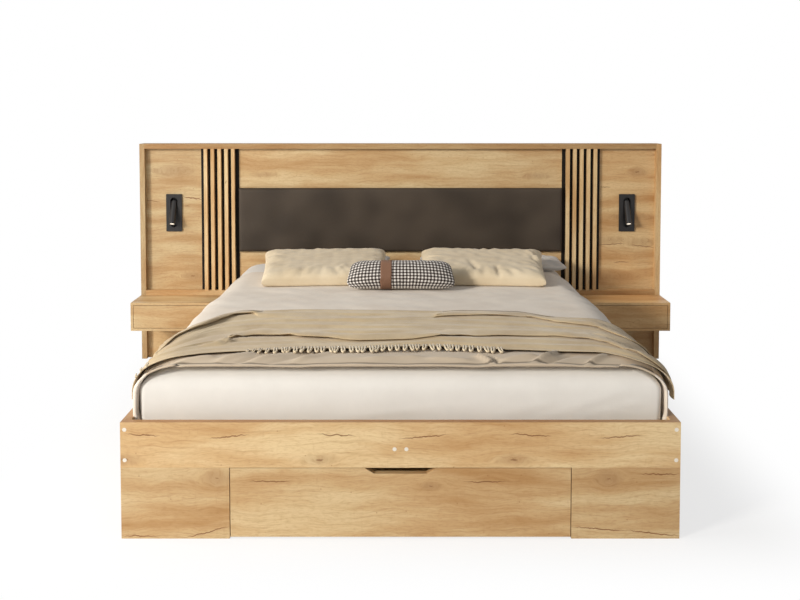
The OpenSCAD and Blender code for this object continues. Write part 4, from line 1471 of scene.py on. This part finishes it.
@dataclass
class Throw:
    """A soft woven throw across the bed's foot end, in two flat pleats, with looped fringe in front."""

    drape: Drape = field(default_factory=lambda: Drape(0.669, 0.1439, 0.0948, 0.5182))
    hang: float = 0.402
    thick: float = 0.0014
    columns: int = 250
    loops: tuple = ((-0.484, 0.325), (-0.806, -0.742))
    loop_pitch: float = 0.0212
    yarn: float = 0.0036        # radius of a loop's yarn
    in_pleats: float = 0.075    # length of the cloth that lies in the pleats
    # Lines of the throw from its front edge to its back edge: distance over the cloth, place along the bed
    front_line: tuple = (
        (-0.93, -0.994), (-0.886, -0.994), (-0.858, -0.992), (-0.824, -0.990), (-0.780, -0.992),
        (-0.725, -0.990), (-0.695, -0.982), (-0.667, -0.968), (-0.601, -0.938), (-0.527, -0.919),
        (-0.453, -0.907), (-0.376, -0.895), (-0.314, -0.882), (-0.220, -0.882), (-0.120, -0.880),
        (-0.002, -0.858), (0.126, -0.852), (0.298, -0.889), (0.400, -0.900), (0.488, -0.914),
        (0.622, -0.926), (0.679, -0.972), (0.702, -0.995), (0.735, -1.001), (0.80, -1.001),
        (0.840, -0.996), (0.876, -0.997), (0.93, -0.998))
    first_pleat: tuple = (
        (-0.93, -0.860), (-0.831, -0.880), (-0.760, -0.925), (-0.727, -0.920), (-0.689, -0.872),
        (-0.639, -0.813), (-0.588, -0.778), (-0.541, -0.752), (-0.516, -0.728), (-0.479, -0.711),
        (-0.412, -0.713), (-0.312, -0.747), (-0.230, -0.764), (-0.138, -0.781), (0.015, -0.762),
        (0.098, -0.742), (0.175, -0.722), (0.330, -0.710), (0.520, -0.720), (0.626, -0.767),
        (0.673, -0.826), (0.701, -0.900), (0.735, -0.955), (0.790, -0.965), (0.829, -0.968),
        (0.93, -0.968))
    second_pleat: tuple = (
        (-0.93, -0.810), (-0.803, -0.812), (-0.772, -0.768), (-0.745, -0.711), (-0.683, -0.603),
        (-0.633, -0.483), (-0.598, -0.418), (-0.540, -0.398), (-0.473, -0.408), (-0.362, -0.426),
        (-0.252, -0.450), (-0.143, -0.481), (-0.002, -0.450), (0.190, -0.418), (0.288, -0.418),
        (0.441, -0.434), (0.551, -0.530), (0.664, -0.576), (0.711, -0.667), (0.773, -0.715),
        (0.805, -0.740), (0.93, -0.800))
    back_line: tuple = (
        (-0.93, -0.700), (-0.790, -0.680), (-0.733, -0.633), (-0.692, -0.552), (-0.646, -0.408),
        (-0.608, -0.358), (-0.521, -0.323), (-0.376, -0.296), (-0.189, -0.305), (-0.002, -0.314),
        (0.183, -0.332), (0.293, -0.349), (0.437, -0.383), (0.574, -0.432), (0.692, -0.450),
        (0.728, -0.470), (0.789, -0.500), (0.93, -0.560))

    @staticmethod
    def smooth_line(line: tuple, s: np.ndarray) -> np.ndarray:
        """Eases the corners of a traced line.

        Args:
            line: Pairs of distance over the cloth and place along the bed.
            s: Distances over the cloth.

        Returns:
            The place along the bed at each distance.
        """
        knots = np.array(line)
        fine = np.linspace(s.min() - 0.05, s.max() + 0.05, 900)
        raw = np.interp(fine, knots[:, 0], knots[:, 1])
        width = 0.016           # reach of the easing
        weight = np.exp(-((fine[:, None] - s[None, :]) / width) ** 2)
        return (raw[:, None] * weight).sum(axis=0) / weight.sum(axis=0)

    @staticmethod
    def pleat(line: np.ndarray, depth: np.ndarray, tall: np.ndarray) -> list[tuple[np.ndarray, np.ndarray]]:
        """Returns the cloth's path through one pleat, front to back.

        Args:
            line: Place of the pleat's nose along the bed, for each column.
            depth: How deep the cloth is folded under, for each column.
            tall: Height of the pleat, where 1 is about 13 mm.

        Returns:
            Pairs of place along the bed and height over the drape.
        """
        full = smoothstep(depth, 0.0, 0.006)
        under = line + depth
        folded_path = [(under - 0.004, 0.0), (under, 0.0010), (under - 0.001, 0.0060 * tall),
                       (line + 0.007, 0.0080 * tall), (line + 0.0006, 0.0084 * tall),
                       (line - 0.0003, 0.0088 * tall),
                       (line + 0.0008, 0.0093 * tall), (line + 0.009, 0.0106 * tall), (under, 0.0126 * tall),
                       (under + 0.018, 0.0112 * tall), (under + 0.042, 0.0060 * tall), (under + 0.080, 0.0)]
        eased_path = [(-0.020, 0.0), (-0.015, 0.0006), (-0.011, 0.0014), (-0.007, 0.0022), (-0.003, 0.0030),
                      (0.001, 0.0038), (0.005, 0.0042), (0.012, 0.0042), (0.024, 0.0034), (0.040, 0.0022),
                      (0.060, 0.0010), (0.080, 0.0)]
        return [(full * y + (1 - full) * (line + flat_y), full * rise + (1 - full) * flat_rise)
                for (y, rise), (flat_y, flat_rise) in zip(folded_path, eased_path)]

    def build(self) -> list[Object]:
        """Builds the throw and its fringe.

        Returns:
            The cloth and the fringe.
        """
        reach = self.drape.reach(self.hang)
        s = np.linspace(-reach, reach, self.columns)
        front, first, second, back = (self.smooth_line(line, s) for line in (
            self.front_line, self.first_pleat, self.second_pleat, self.back_line))
        fade = smoothstep(s, -0.575, -0.50) * (1 - 0.7 * smoothstep(s, 0.74, 0.82))
        depth_1 = fade * (0.030 + 0.004 * np.sin(9 * s))
        tall_1 = 0.75 + 0.35 * np.exp(-((s + 0.35) / 0.22) ** 2)
        eased = smoothstep(s, -0.60, -0.50) * (1 - smoothstep(s, 0.10, 0.22))
        depth_2 = (0.026 + 0.003 * np.sin(7 * s + 1)) * (1 - eased)
        tall_2 = 0.75 + 0.35 * np.exp(-((s + 0.66) / 0.10) ** 2)
        path: list[tuple[np.ndarray, np.ndarray]] = []
        first_path, second_path = self.pleat(first, depth_1, tall_1), self.pleat(second, depth_2, tall_2)
        zero = np.zeros_like(s)
        for t in np.linspace(0, 1, 18)[:-1]:
            path.append((front + (first_path[0][0] - front) * t, zero))
        path += first_path
        for t in np.linspace(0, 1, 30)[1:-1]:
            path.append((first_path[-1][0] + (second_path[0][0] - first_path[-1][0]) * t, zero))
        path += second_path
        for t in np.linspace(0, 1, 14)[1:]:
            path.append((second_path[-1][0] + (back - second_path[-1][0]) * t, zero))
        y = np.array([row for row, _ in path])
        rise = np.array([height for _, height in path])
        s_grid = np.broadcast_to(s, y.shape)
        x, z = self.drape.at(s_grid, rise + self.lift(s_grid, y, front, back))
        cloth = grid_piece("throw_cloth", np.stack([x, y, z - Duvet.sink(s_grid, y)], axis=2))
        thickness = cloth.modifiers.new("thickness", "SOLIDIFY")
        thickness.thickness = self.thick
        thickness.offset = 0.0
        apply_modifiers(cloth)
        face_outwards(cloth)
        fringe = self.fringe(s, front)
        dress(cloth, THROW_WOOL.material(), replaces=["throw"])
        dress(fringe, FRINGE_WOOL.material())
        return [cloth, fringe]

    def lift(self, s: np.ndarray, y: np.ndarray, front: np.ndarray, back: np.ndarray) -> np.ndarray:
        """Returns the height of the throw's wrinkles.

        Args:
            s: Distance from the middle line over the cloth.
            y: Place along the bed.
            front: The front edge's place for each column.
            back: The back edge's place for each column.

        Returns:
            The lift along the cloth's normal.
        """
        inside = smoothstep(y, front + 0.010, front + 0.045) * (1 - smoothstep(y, back - 0.045, back - 0.010))
        # The creases run along with the throw's edges, so they are drawn over the share of its width
        share = (y - front) / np.maximum(back - front, 0.1) * 0.50
        long = 0.0040 * ripples(s, share, 0.110, 35, math.pi / 2, 0.09)
        long += 0.0014 * ripples(s, share, 0.032, 32, math.pi / 2, 0.05)
        crumple = (
            Fold(-0.600, -0.815, -0.540, -0.775, 0.010, 0.012),
            Fold(-0.585, -0.775, -0.545, -0.800, 0.007, 0.008),
            Fold(-0.560, -0.750, -0.470, -0.735, 0.008, 0.005),
            Fold(-0.630, -0.835, -0.560, -0.815, 0.009, 0.006))
        edge = 0.0035 * (1 - smoothstep(y, front, front + 0.02)) + 0.002 * smoothstep(y, back - 0.02, back)
        return 0.0024 + inside * (np.maximum(long, -0.0024) + folded(crumple, s, y)) + self.bulge(s) + edge

    @staticmethod
    def bulge(s: np.ndarray) -> np.ndarray:
        """Returns how much further out the throw hangs than its drape, at each distance across."""
        return 0.007 * smoothstep(s, 0.68, 0.84) - Duvet.drawn_in(s)

    def fringe(self, s: np.ndarray, front: np.ndarray) -> Object:
        """Builds the looped fringe along the front edge as one piece.

        Args:
            s: Distance over the cloth of each column.
            front: The front edge's place for each column.

        Returns:
            The fringe.
        """
        rng = random.Random(SEED)
        rows: list[np.ndarray] = []
        faces: list[tuple[int, ...]] = []
        places = [low + (k + 0.5) * self.loop_pitch for low, high in self.loops
                  for k in range(int((high - low) / self.loop_pitch))]
        for place in places:
            at = place + rng.uniform(-0.003, 0.003)
            start = float(np.interp(at, s, front))
            full = 0.55 + 0.45 * float(smoothstep(place, -0.50, -0.34))
            length = full * rng.uniform(0.034, 0.044)
            lean = rng.uniform(-0.005, 0.005)
            width = full * rng.uniform(0.0042, 0.0050)
            path = []
            for t in np.linspace(0, math.pi, 9):
                out = math.sin(t) ** 0.45
                side = -math.cos(t) * width
                level = 0.0060 * (1 - out) + self.yarn
                spot = np.array(at + side + lean * out)
                x, z = self.drape.at(spot, level + self.bulge(spot))
                path.append(Vector((float(x), start + 0.004 - length * out, float(z))))
            self.tube(path, self.yarn * full, rows, faces)
        piece = new_object("throw_fringe", new_mesh("throw_fringe", rows, faces))
        face_outwards(piece)
        return piece

    @staticmethod
    def tube(path: Sequence[Vector], radius: float, points: list, faces: list, sides: int = 5) -> None:
        """Adds a round yarn along a path to a growing mesh.

        Args:
            path: Points that the yarn follows.
            radius: The yarn's radius.
            points: Points of the mesh so far.
            faces: Faces of the mesh so far.
            sides: Number of sides.
        """
        first = len(points)
        for i, spot in enumerate(path):
            ahead = path[min(i + 1, len(path) - 1)] - path[max(i - 1, 0)]
            across = ahead.cross(Vector((0, 0, 1))).normalized()
            up = across.cross(ahead).normalized()
            for k in range(sides):
                turn = 2 * math.pi * k / sides
                side, rise = across * (radius * math.cos(turn)), up * (radius * math.sin(turn))
                points.append(tuple(spot + side + rise))
        for i in range(len(path) - 1):
            for k in range(sides):
                a, b = first + i * sides + k, first + i * sides + (k + 1) % sides
                faces.append((a, b, b + sides, a + sides))
        faces.append(tuple(first + k for k in range(sides)))
        faces.append(tuple(first + (len(path) - 1) * sides + k for k in range(sides)))


@dataclass
class Pillow:
    """A pillow or cushion in a sewn cover: crowned, its sides drawn in between the corners."""

    name: str
    node: tuple[str, ...]
    width: float
    depth: float
    up: float
    down: float
    centre: Point
    lean: float
    turn: float
    seed: int
    drawn: float = 0.05
    floor: float | None = None
    folds: tuple = ()
    cap: float = 0.014
    power: float = 0.5
    cells: tuple[int, int] = (86, 70)
    crumple: float = 0.0012
    taper: float = 0.0
    blunt: float = 0.035
    rounding: float = 10.0
    boxy: float = 2.6

    @property
    def place(self) -> Matrix:
        """Where the pillow lies."""
        turned = Euler((math.radians(self.lean), 0, math.radians(self.turn)))
        return Matrix.Translation(self.centre) @ turned.to_matrix().to_4x4()

    def shape(self) -> tuple[np.ndarray, np.ndarray]:
        """Shapes the sewn cover in the pillow's own frame.

        Returns:
            The upper and the lower face as grids of points.
        """
        cols, rows = self.cells
        a, b = np.meshgrid(np.sin(np.linspace(-math.pi / 2, math.pi / 2, cols)),
                           np.sin(np.linspace(-math.pi / 2, math.pi / 2, rows)))
        x = a * self.width / 2 * (1 - self.drawn * (1 - b ** 2))
        x = x * (1 - self.blunt * np.abs(b) ** self.rounding)
        x = x * (1 - self.taper * (1 - b) / 2)
        y = b * self.depth / 2 * (1 - self.drawn * 1.2 * (1 - a ** 2))
        y = y * (1 - self.blunt * np.abs(a) ** self.rounding)
        crown = np.maximum((1 - np.abs(a) ** self.boxy) * (1 - np.abs(b) ** self.boxy), 0) ** self.power
        near_rim = smoothstep(np.maximum(np.abs(a), np.abs(b)), 0.45, 0.9)
        wrinkle = self.crumple * ripples(x, y, 0.06, self.seed) * crown
        gathers = ripples(np.arctan2(y, x) * 0.16, np.hypot(x, y) * 0.2, 0.035, self.seed + 1)
        wrinkle += 0.0030 * near_rim * crown * gathers
        rim = 0.0020
        top = np.stack([x, y, rim + self.up * crown * 0.93 + wrinkle + folded(self.folds, x, y)], axis=2)
        bottom = np.stack([x, y, -rim - self.down * crown * 0.93], axis=2)
        return top, bottom

    def build(self, finish: Finish, slot: str, fill: float = 0.6) -> Object:
        """Builds the pillow.

        Args:
            finish: Its cover's finish.
            slot: Not used.
            fill: Not used.

        Returns:
            The finished piece.
        """
        top, bottom = self.shape()
        piece = close_shell(self.name, top, bottom)
        swell(piece, cap=self.cap)
        piece.data.transform(self.place)
        if self.floor is not None:
            points = points_of(piece)
            low = points[:, 2] < self.floor
            points[low, 2] = self.floor + (points[low, 2] - self.floor) * 0.02
            set_points(piece, points)
        smooth = piece.modifiers.new("smooth", "SUBSURF")
        smooth.levels = smooth.render_levels = 1
        apply_modifiers(piece)
        return dress(piece, finish.material(), replaces=self.node)


FRONT_PILLOW = {"width": 0.576, "depth": 0.480, "up": 0.044, "down": 0.030, "lean": 5, "drawn": 0.02,
                "cap": 0.005, "taper": 0.06, "power": 0.30, "boxy": 9.0, "blunt": 0.0}
REAR_PILLOW = {"depth": 0.352, "up": 0.018, "down": 0.030, "lean": 0, "turn": 0, "floor": 0.4945,
               "cap": 0.005}


@dataclass
class Pillows:
    """Two front pillows, two white ones behind them and the chequered cushion with its leather strap."""

    bed_top: float = 0.5149     # top of the duvet
    mattress_top: float = 0.493

    def build(self) -> list[Object]:
        """Builds all pillows.

        Returns:
            The pillows, the cushion and its strap.
        """
        rise = 0.240 * math.sin(math.radians(5))
        level = self.bed_top + 0.019 + rise
        left = Pillow(
            "front_pillow_left", ("pillow_left",), centre=(-0.337, 0.425, level), turn=4, seed=41,
            floor=self.bed_top + 0.002, **FRONT_PILLOW, folds=(
                Fold(-0.28, 0.02, -0.20, 0.04, 0.010, 0.006), Fold(-0.29, -0.05, -0.21, -0.02, 0.009, -0.005),
                Fold(-0.28, 0.10, -0.19, 0.09, 0.010, 0.005), Fold(0.05, -0.21, 0.09, -0.10, 0.010, 0.005)))
        right = Pillow(
            "front_pillow_right", ("pillow_right",), centre=(0.366, 0.425, level), turn=-4, seed=51,
            floor=self.bed_top + 0.002, **FRONT_PILLOW, folds=(
                Fold(-0.06, -0.02, -0.01, -0.22, 0.014, -0.010),
                Fold(0.06, -0.12, 0.07, -0.24, 0.008, -0.010),
                Fold(0.20, 0.16, 0.27, 0.02, 0.012, 0.007), Fold(0.22, 0.06, 0.28, -0.10, 0.010, -0.006)))
        pieces = [pillow.build(PILLOW_COTTON, "pillow_linen") for pillow in (left, right)]
        rear_level = self.mattress_top + 0.0005 + REAR_PILLOW["down"]
        left = Pillow("rear_pillow_left", ("rear_pillows",), width=0.600, centre=(-0.342, 0.7755, rear_level),
                      seed=61, **REAR_PILLOW)
        right = Pillow("rear_pillow_right", (), width=0.700, centre=(0.440, 0.7755, rear_level), seed=71,
                       drawn=0.02, crumple=0.004, **REAR_PILLOW)
        pieces += [pillow.build(WHITE_COTTON, "pillow_white") for pillow in (left, right)]
        cushion = Pillow(
            "chequered_cushion", ("check_cushion",), width=0.424, depth=0.140, up=0.042, down=0.040,
            centre=(0.002, 0.128, self.bed_top + 0.064), lean=50, turn=0, seed=81, drawn=0.02,
            floor=self.bed_top + 0.001, cap=0.006, cells=(80, 26), crumple=0.0006, taper=-0.12, blunt=0.13,
            rounding=5.0)
        soft = cushion.build(GINGHAM, "check_fabric", 0.8)
        return pieces + [soft, self.strap(cushion, soft)]

    def strap(self, cushion: Pillow, soft: Object) -> Object:
        """Builds the leather strap round the chequered cushion.

        Args:
            cushion: The cushion's sizes.
            soft: The finished cushion, which the strap is drawn onto.

        Returns:
            The strap.
        """
        places = np.linspace(-0.085, -0.038, 9)     # over the strap's width
        high, thick, sides = cushion.depth / 2 + 0.012, 0.060, 72
        ring = []
        for k in range(sides):
            turn = 2 * math.pi * k / sides
            ring.append([(x, high * math.cos(turn), thick * math.sin(turn)) for x in places])
        band = grid_piece("cushion_strap", np.array(ring + [ring[0]]))
        band.data.transform(cushion.place)
        hug = band.modifiers.new("hug", "SHRINKWRAP")
        hug.target = soft
        hug.wrap_method = "NEAREST_SURFACEPOINT"
        hug.wrap_mode = "OUTSIDE_SURFACE"
        hug.offset = 0.0012
        wall = band.modifiers.new("wall", "SOLIDIFY")
        wall.thickness = 0.0014
        wall.offset = 1.0
        apply_modifiers(band)
        face_outwards(band)
        return dress(band, STRAP_LEATHER.material())


# ---------------------------------------------------------------- camera, lamps and floor


@dataclass
class Studio:
    """The camera at the photograph's angle, soft lamps, and a pale floor that runs out to white."""

    eye: Point = (0.0, -3.853, 1.282)
    tilt: float = 2.845
    focal: float = 43.2
    shift: tuple[float, float] = (-0.000575, -0.1829)
    ambient: float = 0.36
    floor_size: float = 40.0

    def camera(self) -> None:
        """Places the camera."""
        data = bpy.data.cameras.new("camera")
        data.lens, data.sensor_width = self.focal, 36.0
        data.shift_x, data.shift_y = self.shift
        data.clip_start, data.clip_end = 0.05, 60.0
        holder = new_object("camera", data)
        holder.location = self.eye
        holder.rotation_euler = (math.radians(90 - self.tilt), 0.0, 0.0)
        bpy.context.scene.camera = holder

    def lamp(self, name: str, place: Point, target: Point, size: float, power: float, code: str) -> None:
        """Adds one large soft lamp.

        Args:
            name: Its name.
            place: Where it stands.
            target: What it points at.
            size: Side of its face.
            power: Its power in watts.
            code: Its colour.
        """
        data = bpy.data.lights.new(name, "AREA")
        data.shape, data.size, data.energy, data.color = "SQUARE", size, power, linear(code)[:3]
        holder = new_object(name, data)
        holder.location = place
        holder.rotation_euler = (Vector(target) - Vector(place)).to_track_quat("-Z", "Y").to_euler()

    def world(self) -> None:
        """Lights the room evenly, and shows white to the camera and in reflections."""
        world = bpy.data.worlds.new("studio")
        bpy.context.scene.world = world
        world.use_nodes = True
        tree = world.node_tree
        tree.nodes.clear()
        rays = add(tree, "ShaderNodeLightPath").node.outputs
        seen = add(tree, "ShaderNodeMath", {0: rays["Is Camera Ray"], 1: rays["Is Glossy Ray"]},
                   operation="MAXIMUM")
        seen = add(tree, "ShaderNodeMath", {0: seen, 1: rays["Is Transmission Ray"]}, operation="MAXIMUM")
        room = add(tree, "ShaderNodeBackground", {"Color": linear("#F6F8FC"), "Strength": self.ambient})
        white = add(tree, "ShaderNodeBackground", {"Color": WHITE, "Strength": 1.0})
        surface = add(tree, "ShaderNodeMixShader", {0: seen, 1: room, 2: white})
        add(tree, "ShaderNodeOutputWorld", {"Surface": surface})

    def floor(self) -> None:
        """Lays the floor under the bed."""
        deselect()
        bpy.ops.mesh.primitive_plane_add(size=self.floor_size, location=(0.0, 0.0, 0.0))
        plane = bpy.context.object
        plane.name = "floor"
        plane.data.materials.append(PaleFloor().material())

    def build(self) -> None:
        """Sets up the whole studio."""
        scene = bpy.context.scene
        scene.view_settings.view_transform = "Standard"
        self.camera()
        self.world()
        self.floor()
        self.lamp("key_lamp", (-8.9, -7.6, 4.6), (0.0, 0.2, 0.5), 2.2, 1200.0, "#FFFAF2")
        self.lamp("side_lamp", (-2.4, -1.3, 1.6), (-1.2, -1.5, 0.0), 1.2, 32.0, "#FFFFFF")


PINE = ("#D9BE8E", "#C9A771", 0.010)       # light wood, dark wood, distance between growth lines

# Pale straw-coloured pine, its soft lines along each piece
SOFTWOOD = Timber("planed_pine_across", Grain.X, *PINE)
SOFTWOOD_UP = Timber("planed_pine_upright", Grain.Z, *PINE)
SOFTWOOD_LONG = Timber("planed_pine_long", Grain.Y, *PINE)
# The slats' birch: closer and creamier than the pine
BIRCH = Timber("bent_birch", Grain.X, "#E6D0A2", "#DBC08D", 0.008)
# Dark brown pad with a low satin, the calmest and darkest large face
PAD_LEATHER = ImitationLeather("brown_imitation_leather", "#352D25", "#4A4036", 0.0016, 0.25, 0.56)
# Tan strap, a warm accent on the black and white check
STRAP_LEATHER = ImitationLeather("tan_strap_leather", "#6E4F3E", "#8A6852", 0.0012, 0.20, 0.50)
# Slightly waxy off-white guide strips
RUNNER = SpeckledSurface("white_nylon", "#E3E0D8", "#ECE9E1", 0.004, 0.45)
# Cool grey metal with a fine spangle
ZINC = SpeckledSurface("zinc_plate", "#A9ABAE", "#BDBFC2", 0.003, 0.32, 1.0)
# Small cream dots on the oak, with a faint shine
CAP_PLASTIC = SpeckledSurface("white_cap_plastic", "#DDD5C7", "#E8E1D5", 0.003, 0.42)
# Near-black castor forks
CASTOR_PLASTIC = SpeckledSurface("black_castor_nylon", "#1C1C1B", "#272726", 0.002, 0.45)
# Duller and greyer treads, told apart from the forks
WHEEL_RUBBER = SpeckledSurface("grey_wheel_rubber", "#3A3A3A", "#474746", 0.003, 0.72)
# The mattress's almost smooth, cool white cover
TICKING = WovenCloth("knitted_ticking", "#DEDAD3", "#E4E0D9", 0.0050, 0.06, 0.15, tint=0.01)
# Warmer white cotton of the duvet, with painted shade on its hem
SATEEN = SateenWithPaintedShade("cotton_sateen", "#D4C7B7", "#E0D5C6", 0.0042, 0.08, 0.15, tint=0.03)
# Soft sand-coloured front pillows
PILLOW_COTTON = WovenCloth("washed_cotton", "#D2BF9F", "#DFCEB0", 0.0042, 0.14, 0.15)
# Rear pillows, greyer because they lie in the shade
WHITE_COTTON = WovenCloth("white_cotton", "#C0B9AF", "#D2CBC1", 0.0042, 0.12, 0.25)
# Camel throw with a visible rib, the warmest of the cloths
THROW_WOOL = WovenCloth("woven_wool_twill", "#B19A77", "#C8B38F", 0.0040, 0.45, 0.25, rib=1.6, uv="cloth")
# The fringe's yarn, lighter than the cloth so that its loops stand out
FRINGE_WOOL = WovenCloth("wool_yarn", "#C4AF8D", "#DCCBAC", 0.0030, 0.40, 0.35)
# Small high-contrast check, the eye's first stop on the bed
GINGHAM = GinghamCloth("woven_gingham", "#1E1713", "#E2DDD6", 0.0016, 0.20, 0.20, uv="cloth")


def main() -> None:
    """Builds the bed's looks piece by piece."""
    logging.basicConfig(level=logging.INFO, format="%(name)s: %(message)s")
    Studio().build()
    for part in (Headboard(), ReadingLamps(), Nightstands(), BedFrame(), FootDrawer()):
        part.dress()
        LOG.info("%s dressed", type(part).__name__)
    HeadboardPad().build()
    Mattress().build()
    Duvet().build()
    Throw().build()
    Pillows().build()


if __name__ == "__main__":
    main()
